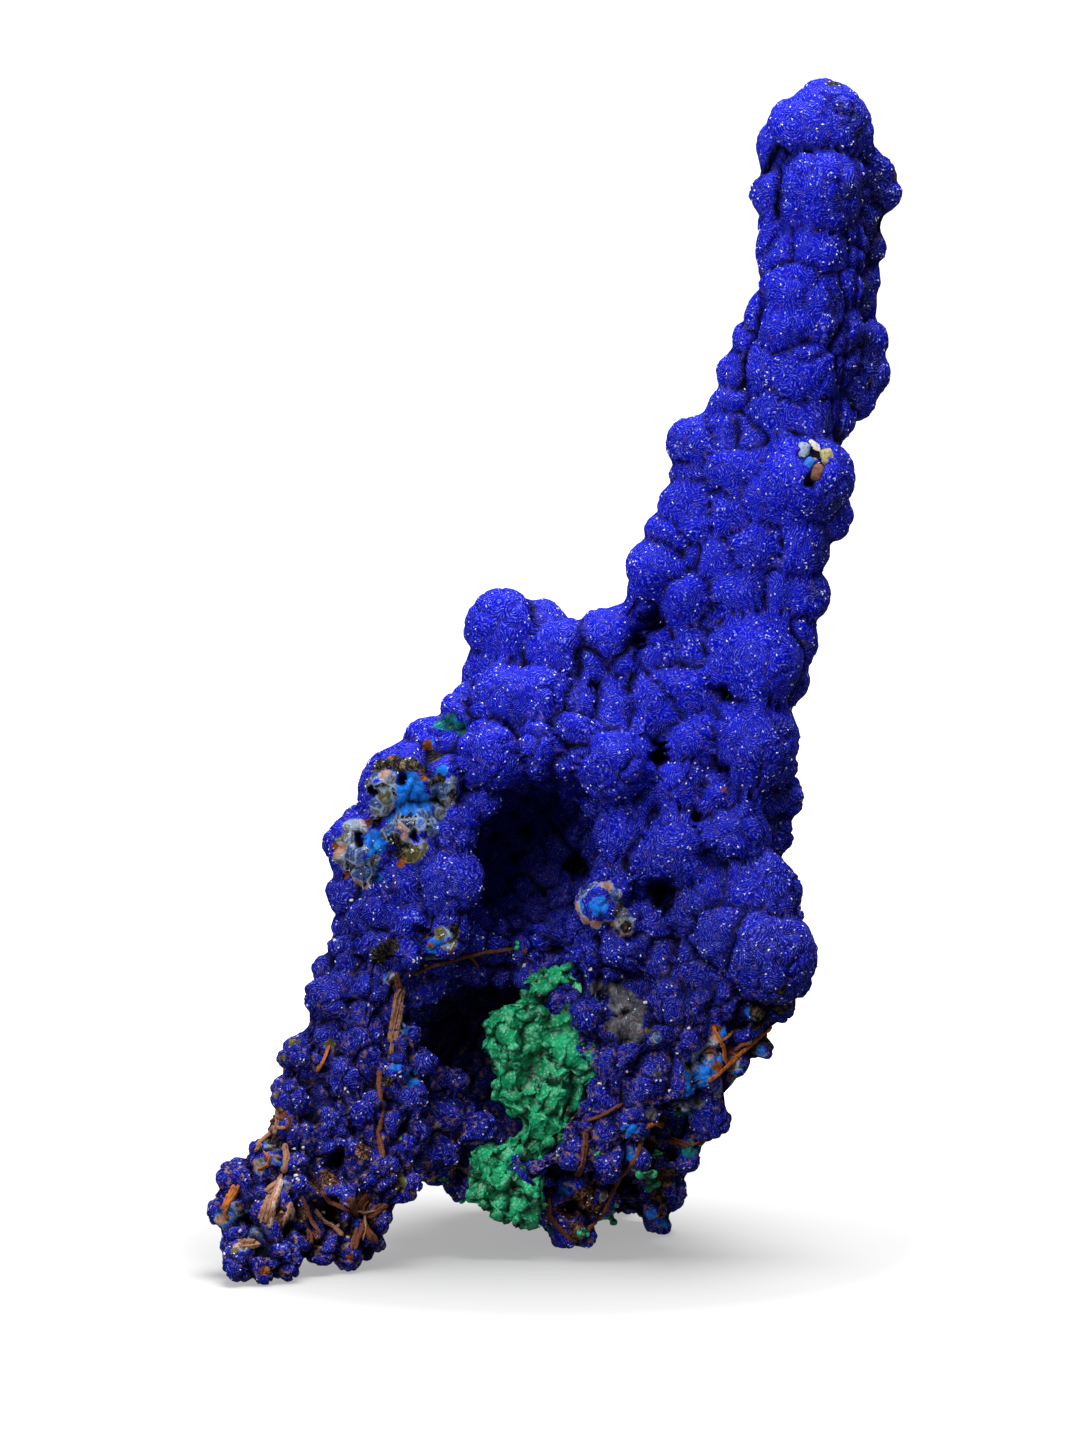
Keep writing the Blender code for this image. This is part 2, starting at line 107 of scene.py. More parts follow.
FLOOR_CORE = [
    (-10.5, 2, 10.6, 2.6), (-7, 3, 9.9, 2.8), (-3.5, 3.5, 8.6, 3.0), (-0.8, 4, 7.8, 2.8),
    (-9, 8, 13.0, 2.8), (-5, 9, 12.8, 3.0), (-1, 9, 10.4, 3.4), (-5, 13, 14.0, 3.2),
]
FOOT_CORE = [
    (-16, 0.6, 35, 3.2), (-16.6, 0.2, 29, 3.2), (-18, -1.4, 23, 3.2), (-20, -3, 17.5, 3.2),
    (-22, -4.5, 12.5, 3.2), (-24.5, -6.5, 8.5, 3.2), (-26, -10.0, 4.6, 2.4), (-18.5, -4, 9, 3.2),
    (-17.8, -5, 5.5, 2.4), (-14.5, -1.5, 14, 3.0), (-14.4, -1, 20, 2.8), (5.5, 1, 17, 3.2),
    (4.5, 1, 12, 3.0), (2.2, 4, 8.2, 2.4), (8.2, 7.5, 9.8, 2.8), (9.0, 10.0, 6.4, 1.9),
    (2.4, 19.5, 9.6, 4.6), (5, 13, 8.8, 3.4),
]
HOLLOWS = (((-2.0, -0.5, 38.2), (7.2, 10.5, 7.8)), ((-5.8, -0.5, 18.8), (8.6, 12.5, 9.4)))

SPIRE = [
    [(24.4, 0.0, 103.9, 4.2), (22.6, -0.2, 103.6, 3.5), (20.6, 0.3, 102.0, 2.7), (26.4, 0.4, 103.2, 2.6)],
    [(24.0, -1.7, 98.4, 4.0), (22.8, -1.4, 97.4, 3.2), (25.0, -1.2, 97.4, 3.0)],
    [(21.0, 0.6, 98.5, 1.9), (20.5, 0.4, 95.7, 2.2)], (20.8, -0.6, 92.7, 2.4), (23.5, -1.6, 92.6, 3.1),
    (26.2, -0.4, 92.4, 2.1), (20.6, 0.6, 90.2, 1.9), (26.0, -0.6, 89.4, 2.1), (19.5, 0.6, 87.6, 2.0),
    [(21.6, -2.0, 89.2, 3.1), (23.6, -1.7, 88.6, 2.8), (21.5, -2.1, 86.2, 3.2), (23.6, -1.6, 86.4, 2.8)],
    (25.4, -1.0, 85.8, 2.2), (18.5, 0.4, 84.6, 2.3), [(22.4, -1.6, 82.0, 3.5), (19.6, -1.3, 81.9, 2.8)],
    (25.4, 0.0, 83.0, 2.1), (16.9, 0.6, 81.6, 2.3), (16.5, 0.4, 79.2, 2.5),
    [(22.4, -1.5, 77.9, 2.7), (20.0, -1.6, 77.9, 2.5)], (18.4, -0.6, 76.4, 2.3), (24.9, 1.2, 77.6, 2.5),
    [(28.7, 3.2, 100.0, 2.0), (29.5, 3.4, 98.0, 1.9)], [(28.1, 3.2, 95.4, 2.1), (28.1, 3.4, 93.0, 2.0)],
    [(27.6, 3.0, 90.0, 2.0), (27.5, 3.0, 88.0, 2.0)],
    [(27.8, 2.8, 84.4, 2.6), (27.7, 3.0, 82.0, 2.8), (26.8, 2.8, 79.8, 2.4)],
]
WAIST = [
    (13.1, 0.0, 75.3, 2.7), (15.8, -0.3, 76.2, 2.3), (12.7, 0.2, 72.6, 2.4),
    [(12.0, -0.2, 70.0, 2.7), (12.8, -0.7, 68.4, 2.1)], (10.2, -0.2, 67.0, 2.4), (9.4, -0.4, 64.2, 3.0),
    (12.2, -0.4, 65.6, 1.9), (16.6, -1.5, 72.6, 3.0), (16.4, -1.6, 69.4, 2.7),
    [(22.7, -2.6, 72.2, 4.2), (19.2, -2.2, 71.0, 3.0)], (24.2, 0.0, 69.0, 2.7), (18.4, -1.6, 66.4, 2.9),
    (22.0, -1.3, 66.0, 3.0), (14.2, -0.9, 65.0, 2.0), (12.4, -0.9, 61.9, 2.5), (14.4, -0.7, 60.4, 1.7),
    (8.4, 0.9, 60.9, 1.5), (11.0, 0.6, 59.2, 1.5), (17.2, -1.7, 62.0, 2.6),
    [(20.4, -1.5, 61.9, 2.2), (22.4, -0.5, 61.9, 2.8)], (18.5, -2.2, 56.2, 4.3),
    [(21.6, -0.5, 57.6, 2.5), (21.0, -0.4, 54.2, 2.3)], (9.3, -0.6, 57.0, 1.7), (12.8, -0.6, 56.9, 1.7),
]
CROWN = [
    (-4.4, 3.0, 58.6, 3.5), (-1.2, 3.4, 59.4, 2.2), [(-6.0, 2.6, 54.6, 2.4), (-3.2, 1.8, 55.4, 2.2)],
    (1.5, 0.0, 56.8, 2.9), (4.8, 0.2, 57.5, 3.2), (3.2, -1.0, 56.0, 2.0), (6.3, -0.5, 56.2, 2.2),
    (-7.6, -0.8, 50.8, 2.6), [(-4.4, -1.8, 52.0, 3.3), (-0.8, -2.0, 52.2, 3.0)], (2.5, -2.2, 51.8, 2.4),
    [(4.9, -2.0, 51.8, 2.2), (6.9, -1.4, 53.2, 1.5)], (-5.4, -4.0, 47.6, 3.3), (-1.5, -4.0, 47.8, 2.9),
    (2.2, -3.7, 49.8, 2.2), (1.7, -4.1, 47.2, 2.2), (5.5, -5.0, 46.4, 3.3), (18.0, -2.2, 48.5, 3.9),
    [(12.8, -1.8, 48.8, 3.0), (10.4, -1.0, 50.0, 2.0)], (12.0, -1.3, 53.2, 2.8), (8.7, -1.2, 51.8, 2.7),
    (11.1, -3.0, 44.8, 2.5), (14.6, -3.0, 43.4, 2.1), (16.5, -3.2, 40.3, 3.1), (7.0, -1.6, 40.4, 3.1),
    (10.5, -3.2, 38.9, 3.4), (19.8, 2.8, 43.6, 2.7), (19.6, 2.8, 40.8, 2.3), (13.6, -3.0, 39.0, 2.0),
]
HAUNCH = [
    (19.0, -3.2, 35.3, 3.4), (13.1, -3.2, 34.7, 2.3), (18.9, -4.2, 29.3, 4.6), (15.3, -3.6, 31.0, 3.6),
    (21.6, -2.0, 27.0, 1.9), (12.6, -3.4, 31.8, 1.8), (4.3, -3.6, 34.1, 2.4), (6.3, -3.9, 32.3, 1.5),
    [(6.0, -1.4, 25.6, 2.1), (6.6, -1.8, 23.6, 2.1), (6.0, -1.0, 22.0, 1.6)], (6.6, -2.6, 30.0, 2.7),
    (9.2, -2.2, 32.6, 2.5), (9.0, -2.2, 28.6, 2.2), (3.4, -2.0, 29.2, 1.8), (5.3, -2.5, 27.6, 1.4),
    (12.8, -3.6, 28.4, 2.2), (10.6, -3.1, 25.4, 1.8), (13.0, -3.8, 25.2, 2.0), (15.5, -4.1, 25.6, 2.0),
    (18.0, -3.6, 25.2, 1.9), (20.4, -2.6, 24.8, 1.8), (9.8, -3.2, 22.6, 1.7), (12.2, -3.8, 21.8, 1.8),
    (14.6, -3.2, 22.0, 1.8), (17.0, -2.2, 22.2, 1.9), (13.8, -2.8, 19.0, 1.9), (16.4, -1.6, 19.8, 1.7),
    (18.0, -1.0, 20.9, 1.5), (21.0, -1.0, 32.6, 1.7), (20.6, 0.5, 46.4, 1.7), (11.4, -3.2, 17.8, 1.9),
    (11.6, -2.6, 16.2, 1.2), (3.1, -2.6, 23.7, 1.5), (6.0, -3.2, 19.9, 2.0), (8.4, -3.2, 18.2, 1.8),
    (4.3, -3.2, 16.9, 1.5), (7.1, -3.6, 14.2, 1.9), (1.9, -2.8, 11.8, 1.9), (4.5, -3.4, 13.2, 1.5),
    (5.0, -3.2, 10.6, 1.6), (7.0, -2.6, 11.4, 1.5), (2.4, -2.8, 14.0, 1.3), (14.0, 0.0, 14.7, 1.9),
    (12.2, 0.6, 15.6, 1.5), (11.8, 2.0, 11.0, 1.7), (11.0, 4.0, 8.1, 1.4), (9.4, 9.8, 5.6, 1.9),
    (9.4, 5.0, 7.4, 1.6), (1.7, 3.6, 5.5, 2.6), (-0.9, 0.5, 9.6, 1.2), (-1.6, 0.6, 6.6, 1.0),
]
LEFT_LEG = [
    (-13.6, -2.0, 44.6, 4.0), (-10.3, -3.0, 45.2, 2.4), (-17.4, -2.8, 38.9, 3.2),
    (-12.4, -4.0, 41.0, 2.5), (-13.9, -0.4, 45.8, 2.5), (-10.8, -0.8, 48.2, 2.7),
    (-6.3, -2.6, 43.6, 1.9), (-8.8, -3.6, 40.5, 2.2), (-9.2, -4.6, 36.0, 2.9), (-12.9, -4.0, 35.9, 2.0),
    (-18.6, -2.8, 35.1, 2.0), (-16.4, -3.9, 33.5, 2.3), (-18.6, -2.6, 32.4, 1.7),
    (-12.4, -4.5, 32.3, 1.8), (-9.9, -4.9, 31.2, 2.2), (-18.6, -3.4, 30.0, 2.1),
    (-15.7, -4.5, 30.3, 2.2), (-13.2, -4.8, 29.4, 1.8), (-20.2, -2.6, 28.0, 1.8),
    (-19.8, -3.8, 25.5, 2.5), (-16.5, -4.5, 26.1, 2.0), (-20.2, -3.8, 22.9, 2.0),
    (-17.0, -4.8, 22.4, 2.2), (-14.2, -4.4, 24.4, 1.2), (-13.4, -4.2, 22.4, 1.3),
    (-22.6, -4.8, 20.2, 2.1), (-18.6, -5.3, 18.7, 1.9), (-23.5, -5.8, 16.7, 2.1),
    (-20.9, -5.2, 17.4, 1.3), (-19.9, -6.3, 14.6, 1.8), (-17.0, -6.2, 15.8, 1.8),
    (-21.9, -6.2, 14.9, 1.3), (-19.0, -6.6, 12.3, 1.7), (-24.2, -6.4, 14.0, 1.6),
    (-22.7, -7.8, 13.3, 1.3), (-22.9, -8.8, 10.9, 1.3), (-23.1, -9.2, 8.6, 1.5),
    (-26.2, -7.8, 11.4, 1.8), (-28.2, -8.3, 9.4, 2.1), (-29.0, -8.8, 6.7, 2.3), (-26.5, -9.2, 7.4, 1.8),
    (-27.6, -10.0, 4.8, 1.6), (-27.6, -12.6, 1.9, 2.1), (-26.0, -12.8, 1.5, 2.0),
    (-24.4, -11.8, 2.4, 2.0), (-20.4, -8.4, 3.2, 1.7), (-18.2, -6.8, 2.8, 1.9), (-16.7, -6.0, 3.3, 1.4),
    (-15.5, -5.8, 5.4, 1.3), (-19.2, -7.6, 7.4, 1.5), (-22.0, -9.5, 4.6, 1.6), (-15.2, -6.8, 10.2, 1.7),
    (-13.4, -5.8, 8.9, 1.7), (-13.6, -5.4, 12.2, 1.5), (-14.6, -5.2, 14.4, 1.4),
    (-12.4, -4.6, 16.9, 1.5), (-14.3, -5.2, 18.5, 1.3), (-12.0, -3.4, 19.8, 1.4),
    (-9.3, 3.0, 17.6, 1.7), (-6.4, -1.0, 14.1, 1.7), (-9.4, -0.6, 14.8, 1.7), (-12.2, -4.0, 13.4, 1.4),
    (-9.6, -1.6, 11.8, 1.5),
]
LEDGE = [
    (-7.6, -1.4, 30.6, 1.7), (-5.4, 0.4, 30.4, 1.6), (-3.2, 1.6, 30.6, 1.5), (-1.2, 2.4, 31.0, 1.6),
    (0.8, 2.2, 31.0, 1.7), (2.2, 0.4, 29.6, 1.5), (-10.0, -2.6, 29.4, 1.5), (2.6, -0.6, 31.4, 1.5),
]
MALACHITE = [
    (0.8, 0.5, 27.2, 1.6), (2.2, 0.3, 26.9, 1.4), (-0.9, 0.5, 26.5, 1.5), (-1.1, 0.6, 25.0, 1.5),
    (0.6, 0.8, 25.2, 1.7), (1.1, 0.6, 23.4, 1.7), (0.2, 1.2, 22.1, 1.6), (-3.8, 0.0, 22.6, 2.1),
    (-4.6, 0.4, 21.6, 1.5), (-2.2, 0.2, 22.3, 1.8), (-3.4, 0.2, 20.6, 1.8), (-1.6, 0.8, 20.5, 1.6),
    (1.6, 0.2, 21.0, 2.0), (3.6, -0.2, 20.8, 1.3), (0.4, 0.4, 19.2, 2.0), (2.2, 0.4, 18.8, 1.6),
    (-1.0, 1.0, 18.4, 1.5), (-3.6, 0.0, 18.5, 1.6), (-3.6, 0.0, 16.9, 1.5), (-2.4, 0.4, 17.6, 1.5),
    (0.2, 0.2, 16.6, 2.1), (1.4, 0.5, 16.4, 1.6), (-0.6, 0.0, 14.8, 2.0), (-1.8, 0.4, 15.2, 1.5),
    (-0.6, 0.4, 13.6, 1.3), (-1.2, 0.8, 12.2, 1.3), (-2.2, 0.2, 10.8, 1.4), (-3.0, -0.4, 9.6, 1.5),
    (-6.2, -1.6, 11.2, 1.1), (-5.2, -1.8, 9.6, 1.7), (-6.2, -1.6, 8.5, 1.3), (-4.2, -1.4, 8.9, 1.5),
    (-4.0, -0.4, 11.2, 1.3), (-2.6, -1.2, 8.0, 1.6), (-3.2, -1.4, 6.8, 1.4), (-2.0, -1.2, 6.0, 1.3),
    (-4.8, -1.2, 7.2, 1.2),
]
# Small malachite lumps elsewhere, (across, up, radius); they sit on whatever is in front there.
GREEN_SPOTS = [
    (8.3, 10.2, 1.1), (8.8, 8.8, 1.0), (9.3, 11.4, 0.7), (7.6, 9.6, 0.7), (5.0, 5.7, 1.2),
    (4.0, 4.5, 0.8), (5.5, 6.8, 0.6), (-9.4, 25.1, 0.7), (-9.9, 24.6, 0.4), (-3.2, 30.3, 0.5),
    (-2.3, 30.5, 0.4), (4.0, 25.4, 0.45), (3.3, 20.9, 0.8), (3.9, 21.3, 0.5), (2.8, 20.2, 0.5),
    (-9.4, 7.8, 0.6), (-8.2, 7.4, 0.6), (-7.0, 6.6, 0.7), (-6.2, 5.8, 0.5), (-10.2, 8.2, 0.4),
    (15.9, 52.8, 0.6), (4.0, 11.8, 0.6), (3.0, 11.0, 0.4), (3.4, 12.4, 0.35), (10.2, 14.5, 0.3),
    (-13.6, 13.0, 0.35),
]
# What breaks or stains the blue, as (across, up, radius) of round patches on the side seen in front.
PATCHES = {
    "cerulean": [
        (-13.0, 43.8, 1.6), (-12.4, 43.0, 1.4), (-13.4, 42.6, 1.1), (-12.8, 45.0, 1.0),
        (-16.0, 39.6, 1.1), (-12.9, 18.4, 1.0), (14.6, 20.2, 0.9), (13.4, 18.9, 1.2), (12.6, 17.8, 1.0),
        (14.2, 19.4, 0.9), (-12.2, 44.4, 0.8), (-13.5, 45.0, 0.9), (-11.6, 43.4, 0.7),
        (-14.4, 43.6, 0.7), (-14.6, 41.7, 0.6), (-15.9, 39.7, 0.9), (-16.2, 39.0, 0.8),
        (-15.4, 39.8, 0.6), (-15.8, 36.6, 0.6), (-10.0, 46.0, 0.6), (-10.8, 48.4, 0.5),
        (-10.6, 30.5, 0.6), (-10.9, 29.8, 0.5), (13.7, 19.6, 0.8), (12.4, 18.8, 0.9), (13.9, 18.3, 0.7),
        (12.8, 17.3, 0.7), (15.3, 22.3, 0.5), (17.6, 24.3, 0.5), (-25.5, 12.4, 0.5), (-24.9, 11.0, 0.6),
        (-14.2, 19.6, 0.6), (6.8, 13.6, 0.8), (7.0, 11.6, 0.8), (2.6, 9.4, 0.6), (9.9, 5.5, 0.8),
        (8.9, 6.0, 0.6), (1.0, 8.0, 0.5), (4.1, 33.9, 0.9), (-28.8, 6.0, 0.5), (-27.6, 4.0, 0.4),
    ],
    "teal": [
        (-9.2, 50.3, 0.9), (-8.2, 49.9, 0.7), (-10.2, 50.2, 0.6), (-17.2, 35.8, 0.5), (11.4, 15.1, 0.7),
        (12.2, 15.4, 0.5), (12.2, 12.0, 0.8), (10.4, 13.4, 0.5), (3.1, 20.4, 0.5), (-0.4, 4.6, 0.5),
    ],
    "ash": [
        (-15.6, 45.6, 1.0), (-16.2, 44.6, 0.8), (-15.2, 44.2, 1.2), (-15.4, 42.8, 1.1),
        (-14.6, 45.4, 0.8), (-10.6, 44.8, 0.8), (-9.9, 43.4, 1.2), (-9.2, 44.6, 0.9),
        (-10.2, 42.2, 0.7), (-11.4, 41.6, 1.2), (-12.6, 41.2, 1.1), (-13.8, 41.4, 0.9),
        (-12.8, 40.0, 1.0), (-14.8, 40.4, 0.9), (-10.9, 40.8, 0.7), (-18.2, 41.2, 0.8),
        (-17.4, 41.0, 0.9), (-18.6, 39.4, 1.1), (-18.9, 38.2, 1.1), (-17.6, 39.0, 1.0),
        (-17.8, 37.4, 1.1), (-16.6, 37.4, 1.0), (-17.0, 36.2, 0.9), (-16.0, 38.0, 0.7),
        (-11.8, 39.2, 0.7), (-9.4, 31.0, 1.1), (-10.6, 29.2, 0.7), (16.8, 18.4, 1.1), (18.6, 19.0, 0.8),
        (20.0, 22.8, 1.0), (14.8, 17.4, 0.9), (11.6, 15.9, 0.9), (13.0, 16.2, 0.7), (13.4, 20.6, 1.0),
        (12.2, 19.8, 0.8), (16.2, 19.6, 0.9), (18.4, 20.6, 0.8), (14.6, 21.8, 0.7), (-28.6, 6.5, 1.1),
        (-29.8, 5.6, 0.9), (-26.6, 4.8, 0.9), (-25.4, 15.4, 0.8), (-25.0, 12.6, 0.9),
        (-26.2, 10.6, 0.8), (-24.0, 8.8, 0.7), (-28.0, 3.4, 0.7), (-23.4, 6.2, 0.9), (-13.4, 22.8, 0.6),
        (-12.9, 21.4, 0.5), (-14.8, 27.4, 0.7), (5.9, 33.4, 0.6), (5.7, 34.8, 0.6), (4.8, 35.7, 0.6),
        (3.5, 35.7, 0.6), (2.6, 35.0, 0.6), (2.3, 33.9, 0.6), (2.7, 32.7, 0.6), (3.8, 32.2, 0.6),
        (5.0, 32.5, 0.6), (6.4, 32.2, 1.0), (-10.4, 7.4, 0.6), (7.4, 10.0, 0.7), (8.0, 12.6, 0.6),
        (6.6, 8.4, 0.6), (2.0, 8.8, 0.6), (4.6, 7.6, 0.6), (9.2, 22.0, 0.6),
    ],
    "speckled": [
        (-15.6, 46.6, 0.9), (-14.6, 46.8, 0.9), (-13.6, 46.6, 0.8), (-12.6, 46.6, 0.8),
        (-11.8, 46.2, 0.6), (-10.6, 47.2, 0.8), (-10.2, 45.2, 0.6), (-9.0, 43.9, 0.5),
        (-15.8, 41.6, 0.6), (-14.2, 39.8, 0.7), (-13.2, 38.8, 1.0), (-15.3, 29.4, 1.2),
        (-14.6, 30.3, 0.8), (18.8, 24.2, 1.2), (20.6, 24.9, 1.0), (20.5, 26.2, 0.6), (18.2, 23.4, 0.8),
        (21.6, 25.0, 0.6), (25.2, 108.6, 0.9), (-8.8, 31.8, 0.7), (19.4, 21.8, 0.8), (6.6, 32.0, 0.6),
        (-25.6, 16.4, 0.6), (-14.8, 18.2, 0.6), (10.6, 9.8, 0.8),
    ],
    "olive": [
        (-12.4, 38.8, 0.7), (-12.9, 38.2, 0.7), (-10.2, 31.4, 0.6), (-23.2, 21.6, 0.6),
        (-24.3, 20.2, 0.4), (-13.7, 9.2, 0.7), (-20.2, 21.6, 0.5), (8.6, 22.6, 0.5), (-28.6, 3.2, 0.4),
        (-24.9, 17.0, 0.4),
    ],
    "rust": [
        (-11.6, 45.5, 0.5), (-11.3, 48.3, 0.5), (-16.5, 41.2, 0.5), (-14.4, 47.2, 0.3),
        (-19.6, 39.3, 0.4), (-13.6, 37.7, 0.5), (-18.6, 36.8, 0.4), (-11.2, 31.2, 0.35),
        (-11.0, 30.4, 0.35), (-9.2, 29.8, 0.35), (15.4, 21.0, 0.7), (16.6, 20.6, 0.6),
        (14.8, 19.4, 0.6), (14.6, 22.8, 0.5), (17.9, 21.5, 0.6), (-25.7, 1.4, 0.5), (-27.2, 11.6, 0.4),
        (-25.6, 11.4, 0.3), (13.4, 12.6, 0.6), (9.6, 14.0, 0.6), (15.4, 44.2, 0.35), (-18.2, 2.4, 0.4),
        (-2.6, 29.8, 0.4),
    ],
    "earth": [
        (-21.4, 8.8, 1.0), (-19.8, 6.2, 1.3), (-21.6, 4.0, 1.1), (-18.9, 5.0, 1.1), (-17.2, 7.4, 1.0),
        (-16.5, 5.4, 0.8), (-16.9, 11.9, 0.9), (-24.6, 14.9, 0.9), (-25.2, 13.6, 0.8), (1.2, 6.3, 1.6),
        (2.6, 7.0, 1.3), (3.4, 8.4, 0.8), (2.2, 4.6, 0.9), (9.9, 9.3, 1.0), (9.6, 7.6, 0.9),
        (9.8, 6.0, 0.6), (-24.6, 6.4, 0.9), (-24.2, 4.8, 0.8), (-22.6, 6.4, 0.9), (16.6, 22.8, 0.7),
        (30.9, 99.6, 0.4), (-20.0, 9.6, 1.1), (8.8, 12.6, 0.7), (7.0, 5.4, 0.8), (-9.0, 10.0, 0.6),
    ],
    "matrix": [
        (6.2, 25.2, 1.4), (6.6, 23.6, 1.5), (6.8, 22.3, 1.2), (5.6, 26.3, 0.9), (4.0, 26.5, 0.8),
        (5.2, 23.2, 0.7), (1.8, 15.6, 0.9), (2.3, 16.8, 0.8), (2.9, 18.2, 0.7), (1.2, 14.6, 0.7),
        (-0.6, 12.4, 1.2), (-1.4, 11.4, 0.8), (0.2, 13.2, 0.8), (8.8, 15.3, 0.7), (7.4, 24.6, 1.0),
        (-14.4, 27.0, 0.7), (6.0, 33.6, 0.9), (9.4, 18.8, 0.5),
    ],
}
# Darker azurite down the right side, as (across, up, radius) on the side seen in front: large dark
# crystals, with painted shade on that side.
INK_AND_SHADE = [
    (29.2, 99.6, 1.5), (29.6, 98.0, 1.3), (28.9, 95.2, 1.3), (28.9, 93.4, 1.3), (28.4, 89.8, 1.2),
    (28.2, 88.2, 1.1), (28.2, 84.8, 1.4), (28.8, 82.8, 1.5), (28.6, 81.0, 1.4), (27.4, 79.4, 1.2),
    (26.8, 84.2, 0.9), (26.9, 82.0, 0.9), (27.0, 105.0, 1.0), (27.4, 103.2, 1.2), (26.0, 105.8, 0.8),
    (26.6, 98.2, 0.9), (25.6, 97.4, 0.8), (25.6, 88.6, 0.9), (25.2, 86.8, 0.9), (25.0, 85.4, 0.7),
    (24.6, 77.4, 0.9), (26.0, 76.6, 0.9), (25.4, 70.0, 1.0), (24.4, 65.8, 0.9), (23.6, 62.2, 1.0),
    (22.8, 57.4, 0.9), (22.0, 54.0, 0.8), (20.6, 50.0, 0.9), (20.4, 44.0, 1.0), (20.2, 41.2, 0.9),
]
# Deep gaps: (across, up, radius, depth), pressed into the side seen in front and darkened with painted
# shade.
GAPS = [
    (23.5, 74.2, 1.3, 1.0), (23.2, 72.3, 0.7, 1.6), (24.4, 73.0, 0.5, 1.4), (9.4, 59.2, 1.0, 4.0),
    (8.3, 58.0, 0.7, 3.0), (15.5, 53.1, 0.7, 3.0), (9.2, 47.2, 0.9, 3.5), (9.5, 35.0, 1.4, 4.0),
    (10.4, 33.6, 0.8, 3.0), (2.2, 37.3, 1.1, 4.0), (16.9, 23.0, 0.7, 2.5), (-26.9, 5.7, 0.7, 2.5),
    (-19.5, 11.0, 1.0, 3.0), (-20.6, 19.4, 0.5, 1.5), (-13.6, 45.2, 0.7, 2.0), (-20.2, 6.2, 1.4, 3.0),
    (-21.6, 4.6, 0.7, 2.0), (2.2, 15.0, 0.7, 2.0), (0.2, 9.6, 0.7, 2.0), (6.2, 8.8, 1.1, 3.0),
    (5.6, 6.2, 0.8, 3.0), (10.2, 11.4, 0.6, 2.0), (-17.3, 29.0, 0.5, 1.2), (-11.6, 31.6, 0.5, 1.2),
    (-16.2, 44.2, 0.5, 1.5), (-17.4, 39.9, 0.5, 1.5), (-12.2, 39.9, 0.5, 1.5), (-10.4, 43.4, 0.4, 1.2),
    (1.2, 6.0, 0.9, 2.0), (3.0, 6.8, 0.5, 1.2), (-24.0, 5.2, 0.6, 1.5), (-18.0, 14.0, 0.5, 1.5),
    (-23.2, 18.6, 0.5, 1.5), (6.6, 24.4, 0.4, 0.9), (7.2, 23.0, 0.4, 0.9), (5.6, 25.4, 0.35, 0.8),
    (-4.2, 49.9, 0.5, 2.0), (3.6, 53.8, 0.5, 2.0), (14.9, 46.2, 0.6, 2.5), (12.9, 41.6, 0.6, 2.5),
]
# Creases that run round the large globules: radius, depth and the route (across, up).
CREASES = [
    (0.42, 0.7, [(18.7, 99.9), (20.4, 100.4), (22.2, 101.8), (23.8, 102.3), (25.9, 102.0), (27.4, 101.1)]),
    (0.3, 0.5, [(20.4, 100.4), (20.2, 98.4), (20.4, 96.1), (21.2, 94.8)]),
    (0.34, 0.6, [(18.9, 92.4), (20.3, 94.4), (21.4, 94.8), (24.3, 94.6), (26.4, 94.4)]),
    (0.3, 0.6, [(27.4, 101.0), (27.7, 98.4), (27.6, 95.6), (27.4, 92.0), (27.3, 89.4), (26.8, 87.2)]),
    (0.3, 0.6, [(26.8, 87.2), (26.5, 84.3), (26.0, 81.7), (25.8, 79.2), (25.6, 76.8)]),
    (0.26, 0.4, [(18.2, 91.6), (18.9, 89.4), (18.5, 86.9), (18.7, 85.3)]),
    (0.3, 0.4, [(18.7, 85.3), (20.7, 83.4), (23.1, 82.8), (25.6, 84.0), (26.5, 84.3)]),
    (0.3, 0.5, [(27.9, 97.4), (28.6, 97.1), (29.2, 96.8)]), (0.26, 0.5, [(27.9, 91.7), (28.8, 91.6)]),
    (0.3, 0.5, [(27.2, 86.6), (27.8, 86.8), (28.4, 86.9)]),
    (0.22, 0.4, [(24.2, 106.8), (25.0, 106.2), (25.6, 105.2), (26.8, 104.9)]),
    (0.2, 0.4, [(25.0, 106.2), (24.4, 105.6), (24.6, 104.4)]),
    (0.2, 0.4, [(26.9, 105.8), (27.4, 104.4)]), (0.2, 0.4, [(28.0, 84.6), (29.2, 83.6), (29.4, 82.4)]),
    (0.2, 0.4, [(27.4, 82.4), (28.6, 81.6), (28.4, 80.0)]),
    (0.2, 0.4, [(25.4, 98.8), (26.0, 97.6), (26.8, 97.0)]),
    (0.2, 0.4, [(24.6, 89.4), (25.6, 88.2), (25.2, 86.8)]),
]
